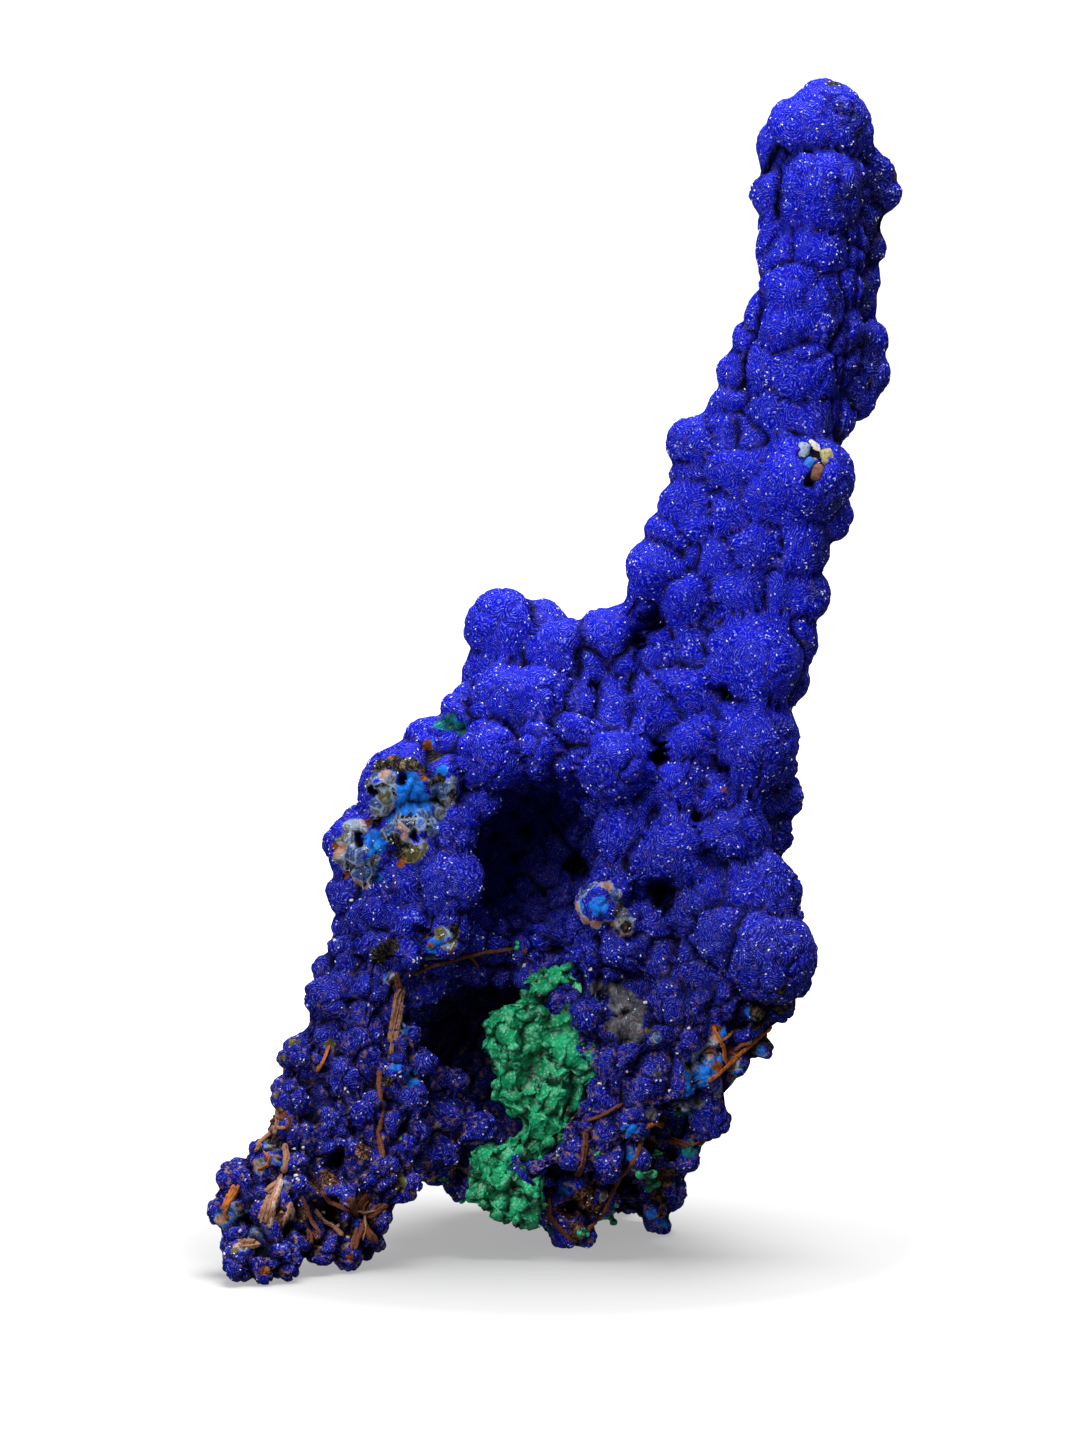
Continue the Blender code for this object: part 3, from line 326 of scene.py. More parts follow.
# Grains of other minerals, by colour: (across, up, half width, half height, turn in degrees).
GRAINS = {
    "ash_pale": [
        (22.4, 74.5, 0.62, 1.05, -15), (0.5, 11.5, 0.24, 0.18, 0), (-2.6, 28.4, 0.28, 0.16, 80),
    ],
    "brown": [(23.7, 72.75, 0.55, 0.8, -15)],
    "cerulean": [(22.95, 73.6, 0.45, 0.6, -40)],
    "chalk": [
        (23.5, 75.1, 0.85, 0.42, -35), (-18.7, 17.5, 0.2, 0.15, 20), (-18.4, 17.2, 0.14, 0.12, 0),
        (-23.2, 12.1, 0.22, 0.16, 30), (-22.4, 12.3, 0.17, 0.14, 0), (-23.0, 9.8, 0.2, 0.16, 0),
        (-22.8, 9.4, 0.15, 0.12, 0), (11.2, 20.7, 0.2, 0.14, 10), (10.5, 17.3, 0.18, 0.14, 0),
        (9.6, 18.2, 0.16, 0.12, 0), (12.2, 22.9, 0.18, 0.13, 40), (8.3, 25.2, 0.2, 0.13, 0),
        (6.2, 27.6, 0.2, 0.15, 60), (3.3, 28.2, 0.24, 0.18, 0), (4.2, 17.9, 0.2, 0.15, 0),
        (3.3, 15.6, 0.16, 0.12, 0), (6.6, 19.0, 0.16, 0.12, 0), (-12.6, 38.9, 0.2, 0.14, -60),
        (-13.3, 36.9, 0.14, 0.1, 0), (-14.9, 35.6, 0.2, 0.1, -20), (-18.1, 34.4, 0.2, 0.16, 0),
        (-9.8, 28.8, 0.18, 0.14, 0), (-11.4, 28.5, 0.18, 0.14, 0), (-16.6, 25.0, 0.16, 0.14, 0),
        (-19.6, 30.8, 0.16, 0.14, 0),
    ],
    "olive_pale": [(24.6, 74.2, 0.62, 0.75, 15)],
    "pale": [
        (-24.6, 7.8, 0.2, 0.15, 0), (-28.0, 4.9, 0.22, 0.15, 20), (-18.4, 4.2, 0.2, 0.16, 0),
        (0.7, 5.5, 0.16, 0.12, 0),
    ],
    "tan": [
        (23.4, 73.8, 0.3, 0.3, 0), (-20.6, 6.4, 0.2, 0.16, 0), (-19.3, 5.2, 0.22, 0.16, 30),
        (-21.4, 7.6, 0.2, 0.15, 0), (1.0, 6.4, 0.2, 0.14, 0), (1.9, 5.4, 0.18, 0.13, 40),
    ],
}
# Limonite grown along cracks, by colour: half the width of each strip and its route (across, up).
VEINS = {
    "tan": [
        (0.62, [(-24.2, 10.0), (-24.9, 8.6), (-25.5, 7.0), (-26.0, 5.4), (-25.8, 4.0)]),
        (0.42, [(-26.2, 8.3), (-25.4, 8.5), (-24.7, 9.0), (-24.2, 9.8)]),
        (0.42, [(-28.4, 4.2), (-27.6, 3.7), (-26.8, 3.7), (-26.0, 3.9)]),
        (0.22, [(-24.1, 12.6), (-23.9, 11.6), (-24.0, 10.6), (-24.1, 9.9)]),
        (0.16, [(-25.9, 13.6), (-25.0, 14.0), (-24.0, 14.1)]),
        (0.13, [(-24.8, 15.6), (-24.6, 14.6), (-24.9, 13.4)]),
        (0.12, [(-16.9, 6.6), (-16.8, 5.2), (-17.1, 4.0)]),
        (0.12, [(-18.6, 7.4), (-17.8, 6.6), (-16.8, 6.4), (-15.9, 6.6)]),
        (0.14, [(-21.4, 6.6), (-20.6, 5.6), (-19.8, 5.2), (-18.8, 4.4)]),
        (0.20, [(-24.2, 5.2), (-23.8, 6.2), (-23.4, 7.4)]),
        (0.50, [(-13.2, 27.0), (-13.7, 25.8), (-13.9, 24.6), (-14.2, 23.2), (-14.5, 21.8), (-14.6, 20.5)]),
        (0.16, [(-26.9, 13.2), (-26.3, 12.4), (-26.6, 12.0)]),
    ],
    "brown": [
        (0.42, [(-25.6, 14.2), (-24.9, 14.8), (-24.1, 14.9), (-23.4, 15.4)]),
        (0.25, [(-23.4, 15.3), (-23.7, 14.2), (-23.9, 13.2)]),
        (0.14, [(-20.8, 8.4), (-20.0, 7.4), (-19.0, 7.0), (-18.0, 6.6)]),
        (0.16, [(-22.6, 8.0), (-22.0, 7.0), (-21.6, 5.8), (-20.8, 4.6)]),
        (0.42, [(-17.4, 6.2), (-17.2, 7.2), (-16.4, 8.2)]),
        (0.38, [(-17.5, 6.2), (-18.0, 7.0), (-18.1, 8.0)]),
        (0.36, [(-17.3, 6.0), (-17.4, 4.8), (-17.8, 3.8), (-17.8, 2.9)]),
        (0.36, [(-17.2, 5.9), (-16.6, 4.8), (-16.1, 4.1), (-15.9, 3.4)]),
        (0.30, [(-17.0, 6.3), (-16.2, 6.2), (-15.4, 7.0), (-14.8, 7.3)]),
        (0.25, [(-22.4, 5.2), (-21.8, 4.4), (-21.6, 3.2)]),
        (0.28, [(-14.3, 28.0), (-13.9, 27.0), (-13.6, 25.8)]),
        (0.22, [(-15.6, 19.2), (-15.6, 17.8), (-15.4, 16.6), (-15.1, 15.6)]),
        (0.17, [(-15.1, 15.8), (-15.4, 14.6), (-15.7, 13.6), (-15.4, 12.4), (-15.2, 11.4)]),
        (0.14, [(-12.6, 27.8), (-11.2, 28.4), (-9.6, 28.8), (-8.0, 29.3), (-6.0, 29.8), (-3.4, 30.1)]),
        (0.10, [(-7.6, 29.4), (-7.0, 28.8), (-6.7, 28.2)]),
        (0.16, [(17.8, 21.6), (17.0, 21.4), (16.2, 20.8)]),
        (0.14, [(13.6, 20.7), (14.3, 20.9), (14.9, 20.4)]),
        (0.24, [(9.0, 12.9), (10.2, 12.8), (11.4, 12.5), (12.6, 12.2), (13.6, 12.7)]),
        (0.12, [(3.0, 14.6), (4.0, 14.9), (5.0, 15.4), (6.3, 16.1)]),
        (0.16, [(8.0, 12.8), (7.4, 11.0), (6.0, 9.3), (5.2, 7.6), (4.5, 6.2), (3.4, 4.8), (2.4, 3.8)]),
        (0.16, [(-0.5, 7.6), (-0.4, 6.0), (0.4, 5.0), (1.4, 4.0), (2.2, 3.6)]),
        (0.20, [(2.9, 13.6), (2.8, 12.2), (2.6, 10.8), (2.2, 9.6)]),
    ],
    "orange": [
        (0.34, [(-28.1, 9.6), (-28.5, 8.4), (-29.1, 7.5), (-29.5, 6.4), (-29.1, 5.6)]),
        (0.13, [(19.6, 23.0), (18.4, 21.9), (17.2, 20.9), (16.0, 19.8), (14.8, 18.8), (13.9, 18.2)]),
        (0.14, [(14.4, 23.2), (14.9, 22.2), (15.3, 21.2), (15.3, 20.2), (15.7, 19.4)]),
        (0.11, [(16.6, 23.0), (15.9, 22.3), (15.2, 21.8)]),
        (0.12, [(-20.1, 21.4), (-20.4, 20.4), (-20.8, 19.6), (-21.2, 19.0)]),
        (0.22, [(8.3, 14.0), (9.1, 14.3), (9.9, 14.0)]),
        (0.14, [(-25.9, 11.9), (-25.4, 11.3), (-25.6, 10.7), (-26.4, 10.3)]),
    ],
    "pale": [
        (0.16, [(-24.3, 9.4), (-24.7, 8.2), (-25.1, 6.8), (-25.2, 5.2)]),
        (0.10, [(-29.1, 7.0), (-29.4, 6.3), (-29.2, 5.9)]),
    ],
}
# How often each pattern of a material turns in a millimetre, which is one over its size.
PER_MM = {
    "tone": 0.13,  # lighter and deeper stretches of blue, 8 mm
    "bend": 0.35,  # bends in the lines of crystals, 3 mm
    "fray": 2.8,  # frayed edges of the lines, 0.4 mm
    "whorl": 0.34,  # whorls that the lines run round, 3 mm
    "fibre": 3.2,  # fibres in broken balls, 0.3 mm
    "broken ball": 0.75,  # balls broken across, 1.3 mm
    "ragged edge": 1.1,  # edges of the patches, 0.9 mm
    "stain": 1.5,  # stains beside the creases, 0.7 mm
    "green": 0.5,  # thick and thin malachite, 2 mm
    "green crystal": 3.0,  # malachite crystals, 0.3 mm
    "split": 2.6,  # flaws of the limonite, 0.4 mm
    "pit": 3.4,  # pits of the grains, 0.3 mm
    "glint": 1.6,  # glints of one brightness, 0.6 mm
}


def linear(hex_colour):
    """An sRGB hex colour as a linear (r, g, b, 1)."""
    parts = [int(hex_colour[i:i + 2], 16) / 255 for i in (1, 3, 5)]
    return (*[c / 12.92 if c <= 0.04045 else ((c + 0.055) / 1.055) ** 2.4 for c in parts], 1)


def add(tree, kind, inputs=(), **settings):
    """Adds a node. inputs gives its sockets, each with a value or with the output that feeds it.

    Map Range: 0 is the value, 1 and 2 are what it runs from and 3 and 4 what it runs to. Mix of
    colours: 0 is the amount, 6 and 7 are the colours and output 2 is the result.
    """
    made = tree.nodes.new(kind)
    for key, value in settings.items():
        setattr(made, key, value)
    for key, value in dict(inputs).items():
        if isinstance(value, bpy.types.NodeSocket):
            tree.links.new(value, made.inputs[key])
        else:
            made.inputs[key].default_value = value
    return made


def upright():
    """Turns the leaning frame upright, in metres, with the footprint's middle at the origin."""
    turned = Matrix.Rotation(-LEAN, 4, "X") @ Matrix.Scale(MM, 4)
    down = Matrix.Translation(Vector((-BASE_CENTRE[0], -BASE_CENTRE[1], -FLOOR)) * MM)
    return down @ turned


def place(spots):
    """Rows of (across, back, up, ...) in millimetres as world points in metres."""
    matrix = np.array(upright())
    return np.asarray(spots, float)[:, :3] @ matrix[:3, :3].T + matrix[:3, 3]


def directions(count):
    """Unit vectors spread evenly over a sphere, along a golden-angle spiral."""
    steps = np.arange(count)
    height = 1 - 2 * (steps + 0.5) / count
    ring = np.sqrt(1 - height**2)
    angle = steps * math.pi * (3 - math.sqrt(5))
    return np.stack([ring * np.cos(angle), ring * np.sin(angle), height], 1)


def search_tree(spots):
    """A tree that finds the nearest of the spots."""
    tree = kdtree.KDTree(len(spots))
    for index, spot in enumerate(spots):
        tree.insert(spot, index)
    tree.balance()
    return tree


def clear_of(spots, others, depth):
    """True for each spot that is in none of the other balls by more than depth."""
    balls = np.asarray(others, float)
    free = np.ones(len(spots), bool)
    for start in range(0, len(spots), 2000):
        gap = spots[start:start + 2000, None, :3] - balls[None, :, :3]
        far = np.linalg.norm(gap, axis=2) - balls[None, :, 3] + depth
        free[start:start + 2000] = (far > 0).all(1)
    return free


def in_hollow(spots, margin=0.0):
    """True for each spot in a hollow that is made larger all round by margin."""
    inside = np.zeros(len(spots), bool)
    for centre, half in HOLLOWS:
        scaled = (spots[:, :3] - centre) / (np.array(half) + margin)
        inside |= (scaled**2).sum(1) < 1
    return inside


def back_globules(core, spacing, sunk, chance):
    """Globules over the sides and the back of the core, where no other mass covers them.

    They are sunk into the core by this many millimetres more than they need.
    """
    grown = []
    for index, (*centre, radius) in enumerate(core):
        others = core[:index] + core[index + 1:]
        ways = directions(round(4 * math.pi * radius**2 / spacing**2))
        sizes = spacing * chance.uniform(0.52, 0.78, len(ways))
        spots = centre + ways * (radius - sunk - 0.35 * sizes)[:, None]
        usual = 0.65 * spacing
        behind = ways[:, 1] > -0.3
        free = behind & clear_of(spots, others, 0.45 * usual) & ~in_hollow(spots, usual)
        for spot, size in zip(spots[free], sizes[free]):
            if all(np.linalg.norm(spot - g[:3]) > 0.72 * spacing for g in grown):
                grown.append((*spot, size))
    return grown


def lining_globules(spacing, chance):
    """Small globules set into the inner walls of the hollows."""
    grown = []
    for centre, half in HOLLOWS:
        area = 4 * math.pi * np.prod(half) ** (2 / 3)
        ways = directions(round(area / spacing**2))
        sizes = spacing * chance.uniform(0.5, 0.7, len(ways))
        spots = centre + ways * (np.array(half) + 0.2 * sizes[:, None])
        kept = (ways[:, 1] > 0) & ~in_hollow(spots)
        grown += [(*spot, size) for spot, size in zip(spots[kept], sizes[kept])]
    return grown


def new_object(name, data):
    """An object in the scene that holds this mesh, light or camera."""
    made = bpy.data.objects.new(name, data)
    bpy.context.scene.collection.objects.link(made)
    return made


def piece_of(name, shape):
    """A new object that holds the shape, with its faces turned outwards."""
    bmesh.ops.recalc_face_normals(shape, faces=shape.faces)
    mesh = bpy.data.meshes.new(name)
    shape.to_mesh(mesh)
    shape.free()
    return new_object(name, mesh)


def ball_swarm(name, balls, rings, material, chance):
    """One closed ball for each (across, back, up, radius), a little out of round, in one mesh."""
    balls = np.asarray(balls, float)
    points = bpy.data.meshes.new(name)
    points.from_pydata([tuple(p) for p in place(balls)], [], [])
    size = balls[:, 3:] * MM * chance.uniform(0.92, 1.08, (len(balls), 3))
    turn = chance.uniform(0, math.tau, (len(balls), 3))
    for key, rows in (("size", size), ("turn", turn)):
        layer = points.attributes.new(key, "FLOAT_VECTOR", "POINT")
        layer.data.foreach_set("vector", rows.ravel())
    swarm = new_object(name, points)

    tree, source = node_group(name + " balls", {"Roundness": "Int"})
    ball = add(tree, "GeometryNodeMeshIcoSphere", {
        "Radius": 1.0, "Subdivisions": source.outputs["Roundness"]})
    size = add(tree, "GeometryNodeInputNamedAttribute", {"Name": "size"}, data_type="FLOAT_VECTOR")
    turn = add(tree, "GeometryNodeInputNamedAttribute", {"Name": "turn"}, data_type="FLOAT_VECTOR")
    copies = add(tree, "GeometryNodeInstanceOnPoints", {
        "Points": source.outputs["Geometry"], "Instance": ball.outputs["Mesh"],
        "Scale": size.outputs["Attribute"], "Rotation": turn.outputs["Attribute"]})
    make_real(tree, copies, material)
    run(swarm, tree, {"Roundness": rings})
    return swarm


def node_group(name, sizes):
    """A Geometry Nodes tree with an input for each of the sizes, and its input node."""
    tree = bpy.data.node_groups.new(name, "GeometryNodeTree")
    tree.interface.new_socket("Geometry", in_out="OUTPUT", socket_type="NodeSocketGeometry")
    for key, kind in {"Geometry": "Geometry", **sizes}.items():
        tree.interface.new_socket(key, in_out="INPUT", socket_type="NodeSocket" + kind)
    return tree, add(tree, "NodeGroupInput")


def make_real(tree, copies, material):
    """Ends the tree: the copies become plain mesh of this material."""
    real = add(tree, "GeometryNodeRealizeInstances", {"Geometry": copies.outputs["Instances"]})
    made = add(tree, "GeometryNodeSetMaterial", {
        "Geometry": real.outputs["Geometry"], "Material": material})
    add(tree, "NodeGroupOutput", {"Geometry": made.outputs["Geometry"]})


def run(piece, tree, sizes):
    """Replaces the piece's mesh by what the tree makes of it with these sizes."""
    modifier = piece.modifiers.new(tree.name, "NODES")
    modifier.node_group = tree
    for socket in tree.interface.items_tree:
        if socket.in_out == "INPUT" and socket.name in sizes:
            modifier[socket.identifier] = sizes[socket.name]
    bake(piece)


def bake(piece):
    """Replaces the piece's mesh by what its modifiers make of it."""
    graph = bpy.context.evaluated_depsgraph_get()
    made = bpy.data.meshes.new_from_object(piece.evaluated_get(graph))
    piece.modifiers.clear()
    piece.data = made


def fuse(piece, grain):
    """Joins the overlapping shapes of piece into one closed skin."""
    remesh = piece.modifiers.new("Fuse", "REMESH")
    remesh.mode = "VOXEL"
    remesh.voxel_size = grain * MM
    remesh.adaptivity = 0
    bake(piece)


def thin_out(piece, triangles):
    """Collapses the mesh to about this many triangles."""
    have = sum(len(face.vertices) - 2 for face in piece.data.polygons)
    if have > triangles:
        collapse = piece.modifiers.new("Thin out", "DECIMATE")
        collapse.ratio = triangles / have
        bake(piece)


def carve(piece, cutter):
    """Cuts the cutter's shape out of piece and deletes the cutter."""
    boolean = piece.modifiers.new("Carve", "BOOLEAN")
    boolean.object = cutter
    boolean.operation = "DIFFERENCE"
    bake(piece)
    bpy.data.objects.remove(cutter)


def join(pieces):
    """The pieces as one object, the first of them."""
    with bpy.context.temp_override(active_object=pieces[0], selected_editable_objects=pieces):
        bpy.ops.object.join()
    return pieces[0]


def keep_largest(piece):
    """Deletes every loose scrap of the mesh but the one with the most points."""
    a, b = rows_of(piece.data.edges, "vertices", np.int32, 2).T
    label = np.arange(len(piece.data.vertices))
    while True:
        low = np.minimum(label[a], label[b])
        lower = label.copy()
        np.minimum.at(lower, label[a], low)
        np.minimum.at(lower, label[b], low)
        lower = lower[lower]
        if (lower == label).all():
            break
        label = lower
    largest = np.bincount(label).argmax()
    if (label == largest).all():
        return
    shape = bmesh.new()
    shape.from_mesh(piece.data)
    scraps = [point for point, part in zip(shape.verts, label) if part != largest]
    bmesh.ops.delete(shape, geom=scraps, context="VERTS")
    shape.to_mesh(piece.data)
    shape.free()


def stand_on_floor(piece):
    """Flattens what is below the floor onto it."""
    where = rows_of(piece.data.vertices, "co")
    where[:, 2] = np.maximum(where[:, 2], 0)
    move_points(piece.data, where)


def hollow_block():
    """Both hollows as one solid, as much larger as the balls around them are."""
    shape = bmesh.new()
    for centre, half in HOLLOWS:
        where = Matrix.Translation(centre) @ Matrix.Diagonal((*[h + GROWN for h in half], 1))
        bmesh.ops.create_icosphere(shape, subdivisions=4, radius=1, matrix=upright() @ where)
    block = piece_of("hollow", shape)
    fuse(block, HOLLOW_GRAIN)
    return block


def rows_of(items, key, kind=np.float32, width=3):
    """One property of every point, edge or face, as rows."""
    rows = np.empty(len(items) * width, kind)
    items.foreach_get(key, rows)
    return rows.reshape(-1, width)


def leaning(mesh):
    """The mesh's points as (across, back, up) in millimetres in the leaning frame."""
    back = np.array(upright().inverted())
    return rows_of(mesh.vertices, "co") @ back[:3, :3].T + back[:3, 3]


def relaxed(mesh, where, rounds):
    """The points after being drawn towards their neighbours this many times."""
    a, b = rows_of(mesh.edges, "vertices", np.int32, 2).T
    count = len(where)
    degree = np.bincount(a, minlength=count) + np.bincount(b, minlength=count)
    for _ in range(rounds):
        total = np.stack([np.bincount(a, where[b, k], count) + np.bincount(b, where[a, k], count)
                          for k in range(3)], 1)
        where = 0.5 * where + 0.5 * total / degree[:, None]
    return where


def smoothly(values, low, high):
    """0 below low, 1 above high and an even curve between."""
    t = np.clip((values - low) / (high - low), 0, 1)
    return t * t * (3 - 2 * t)


def wandering(spots, scale, seed):
    """A smooth random vector for each spot, which changes over about scale millimetres."""
    noise.seed_set(SEED)  # noise_vector is shifted by the clock where no seed is set
    shifted = spots / scale + seed * 7.3
    return np.array([noise.noise_vector(p) for p in shifted])


def balls_of(lobes):
    """Every ball of the lobes, each of which is one ball or a list of balls grown together."""
    return [ball for lobe in lobes for ball in (lobe if isinstance(lobe, list) else [lobe])]


def lobe_gaps(spots, lobes):
    """How much nearer each spot is to one lobe's surface than to any other's, in mm.

    The second result is the same between single balls.
    """
    balls = np.array(balls_of(lobes), float)
    sizes = [len(lobe) if isinstance(lobe, list) else 1 for lobe in lobes]
    starts = np.cumsum([0] + sizes[:-1])
    gaps = np.empty((2, len(spots)))
    for start in range(0, len(spots), 4000):
        away = spots[start:start + 4000, None] - balls[None, :, :3]
        far = np.sqrt(np.einsum("ijk,ijk->ij", away, away)) - balls[:, 3]
        to_lobe = np.minimum.reduceat(far, starts, axis=1)
        for row, choice in enumerate((to_lobe, far)):
            near = np.partition(choice, 1, axis=1)
            gaps[row, start:start + 4000] = near[:, 1] - near[:, 0]
    return gaps


def cell_gaps(spots, seeds):
    """How far each spot is from its nearest and second nearest seed, and which is the nearest."""
    tree = search_tree(seeds)
    found = [tree.find_n(spot, 2) for spot in spots]
    near = np.array([(one[2], two[2]) for one, two in found])
    which = np.array([one[1] for one, two in found])
    return near[:, 0], near[:, 1], which


def scattered(spots, spacing, chance):
    """Indices of spots chosen so that no two are nearer than spacing."""
    order = chance.permutation(len(spots))
    cells = np.floor(spots / spacing).astype(int)
    taken, kept = {}, []
    around = [(i, j, k) for i in (-1, 0, 1) for j in (-1, 0, 1) for k in (-1, 0, 1)]
    for index in order:
        x, y, z = cells[index]
        spot = spots[index]
        if any(((spots[n] - spot) ** 2).sum() < spacing**2
               for i, j, k in around for n in taken.get((x + i, y + j, z + k), ())):
            continue
        taken.setdefault((x, y, z), []).append(index)
        kept.append(index)
    return np.array(kept)


def shoulder(far, size):
    """The drop beside a crease: nothing from size outward, rounding down to one at the crease."""
    t = np.clip(far / size, 0, 1)
    return 1 - np.sqrt(1 - (1 - t) ** 2)


def move_points(mesh, where):
    """Puts the mesh's points at these places in metres."""
    mesh.vertices.foreach_set("co", where.astype(np.float32).ravel())
    mesh.update()


def reshape(mesh, shape):
    """Moves the mesh's points, given in millimetres, and returns the new normals."""
    move_points(mesh, shape * MM)
    return rows_of(mesh.vertex_normals, "vector").astype(float)


def swell(stone, lobes, grown, crease, rough, chance):
    """Presses the globules together and grows lobes and small lumps on them.

    The balls come in too large by grown, so that the gaps between them are shut, and are drawn back.
    A crease as deep as crease(flat) says is left where two lobes meet and a fainter one inside a
    lobe, and LUMPS are raised on each, as strong as rough(flat) says. How far each point is shut
    in a crease, from 0 to 1, is stored on it; the shader darkens it by that much, as painted shade.
    """
    mesh = stone.data
    shape = relaxed(mesh, rows_of(mesh.vertices, "co").astype(float) / MM, 4)
    shape = relaxed(mesh, shape - reshape(mesh, shape) * grown, 2)
    out = reshape(mesh, shape)
    flat = leaning(mesh)
    coarse = rough(flat)

    bent = flat + 0.9 * wandering(flat, 3.4, 1) + 0.3 * wandering(flat, 1.2, 2)
    between, inside = lobe_gaps(bent, lobes) / 2
    deep = crease(flat)
    rise = -deep * shoulder(between, 0.3 + 0.9 * deep) - 0.3 * shoulder(inside, 1.0)
    # shut is painted shade: how far the colour is darkened in the crease between two lobes.
    shut = 1 - smoothly(between, 0.0, 0.06 + 0.3 * deep)

    bent = flat + 0.5 * wandering(flat, 2.0, 3)
    for spacing, strongest, dip, wide, shade, narrow, lift in LUMPS:
        seeds = flat[scattered(flat, spacing, chance)]
        near, far, which = cell_gaps(bent, seeds)
        edge = (far - near) / 2
        strong = coarse * chance.uniform(0.1, strongest, len(seeds))[which]
        rise -= dip * strong * shoulder(edge, wide)
        if lift:
            uneven = chance.uniform(-0.6, 0.6, len(seeds))[which]
            rise += lift * coarse * uneven * smoothly(edge, 0, wide)
        # The dips between the lumps get painted shade as well.
        shut = np.maximum(shut, shade * strong * (1 - smoothly(edge, 0.0, narrow)))
    reshape(mesh, shape + out * (rise + 0.1)[:, None])
    store(mesh, "crevice_shade", np.clip(shut, 0, 1))


def stone_creases(flat):
    """Pressed together up the spire, and rounder balls with deep gaps below it."""
    return 0.45 + 0.25 * smoothly(-flat[:, 2], -70, -58) + 0.3 * smoothly(-flat[:, 2], -34, -22)


def even(amount):
    """The same amount at every point."""
    return lambda flat: np.full(len(flat), amount)


def stored(mesh, name):
    """What store() put on the mesh's points."""
    return rows_of(mesh.attributes[name].data, "value", np.float32, 1)[:, 0]


def dim_hollows(mesh):
    """Paints shade on what lies deep in the hollows, where little light gets in."""
    flat = leaning(mesh)
    shut = stored(mesh, "crevice_shade")
    for centre, half in HOLLOWS:
        far = np.sqrt((((flat - centre) / (np.array(half) + 1.2)) ** 2).sum(1))
        deep = smoothly(flat[:, 1], -1.0, 6.0)
        shut = np.maximum(shut, 0.65 * deep * (1 - smoothly(far, 1.0, 1.2)))
    store(mesh, "crevice_shade", shut)


def press_gaps(piece):
    """Presses the deep gaps and the creases into the skin and darkens them with painted shade."""
    find = front_finder(piece)
    flat = leaning(piece.data)
    bent = flat + 0.9 * wandering(flat, 1.6, 8) + 0.3 * wandering(flat, 0.6, 9)
    shut = stored(piece.data, "crevice_shade")
    gaps = [(*gap, bent) for gap in GAPS]
    uneven = flat + 0.3 * (bent - flat)
    for radius, depth, route in CREASES:
        for one, two in zip(route, route[1:]):
            steps = round(math.dist(one, two) / radius) + 1
            gaps += [(*spot, radius, depth, uneven) for spot in np.linspace(one, two, steps)]
    push = np.zeros(len(flat))
    for across, up, radius, depth, spots in gaps:
        where, _ = find(across, up)
        reach = 1.3 * radius
        beside = (abs(spots[:, 0] - across) < reach) & (abs(spots[:, 2] - up) < reach)
        near = np.flatnonzero(beside & (abs(flat[:, 1] - where[1]) < max(depth, 1.5)))
        far = np.hypot(spots[near, 0] - across, spots[near, 2] - up)
        inner = 1 - smoothly(far, 0.5 * radius, reach)
        push[near] = np.maximum(push[near], depth * inner)
        # Painted shade in the gap or crease, as strong as it is deep up to one millimetre.
        shut[near] = np.maximum(shut[near], inner * min(1, depth))
    move_points(piece.data, place(flat + push[:, None] * (0, 1, 0)))
    store(piece.data, "crevice_shade", shut)


def stone_roughness(flat):
    """Smooth up the spire, rougher in the crown and roughest down the legs."""
    return 0.65 + 0.35 * smoothly(-flat[:, 2], -62, -50) + 0.55 * smoothly(-flat[:, 2], -34, -22)


def store(mesh, name, values):
    """Keeps a value for each point on the mesh."""
    layer = mesh.attributes.get(name) or mesh.attributes.new(name, "FLOAT", "POINT")
    layer.data.foreach_set("value", np.asarray(values, np.float32))


def front_finder(piece):
    """A function that gives the point and normal in front at (across, up), in mm and leaning."""
    back = upright().inverted()
    points = [back @ v.co for v in piece.data.vertices]
    tree = bvhtree.BVHTree.FromPolygons(points, [tuple(f.vertices) for f in piece.data.polygons])

    def find(across, up):
        where, normal, _, _ = tree.ray_cast(Vector((across, -60, up)), Vector((0, 1, 0)))
        if where is None:
            where, normal, _, _ = tree.find_nearest(Vector((across, -1, up)))
        return where, normal
    return find


def paint_patches(piece, find):
    """Stores on each point how far it is inside each kind of patch, from 0 to 1."""
    flat = leaning(piece.data)
    tree = search_tree(flat)
    for kind, spots in (*PATCHES.items(), ("ink_and_shade", INK_AND_SHADE)):
        values = np.zeros(len(flat))
        for across, up, radius in spots:
            where, _ = find(across, up)
            reach = 1.5 * radius
            for _, index, far in tree.find_range(where, reach):
                values[index] = max(values[index], 1 - far / reach)
        store(piece.data, kind, values)


def bridged(find, route):
    """Points and normals close together along the route, lifted clear of the gaps it crosses."""
    spots = []
    for one, two in zip(route, route[1:]):
        spots += list(np.linspace(one, two, round(math.dist(one, two) / ROUTE_STEP) + 1)[:-1])
    where, out = (np.array(rows) for rows in zip(*[find(*spot) for spot in [*spots, route[-1]]]))
    rounds = 12  # enough to lift the strip over the widest gap
    for _ in range(rounds):
        where[1:-1, 1] = np.minimum(where[1:-1, 1], (where[:-2, 1] + where[2:, 1]) / 2)
        out[1:-1] = (out[:-2] + out[1:-1] + out[2:]) / 3
    return list(zip(where, out))


def plank(shape, path, width, chance):
    """Adds a strip of half this width that has split into threads along its length."""
    splits = max(1, round(width / THREAD))
    for turn in range(splits):
        aside = width * (2 * (turn + 0.5) / splits - 1) if splits > 1 else 0.0
        ends = chance.uniform(0, 0.35, 2) * (splits > 1)
        thread(shape, path, 1.25 * width / splits, aside, ends, chance)


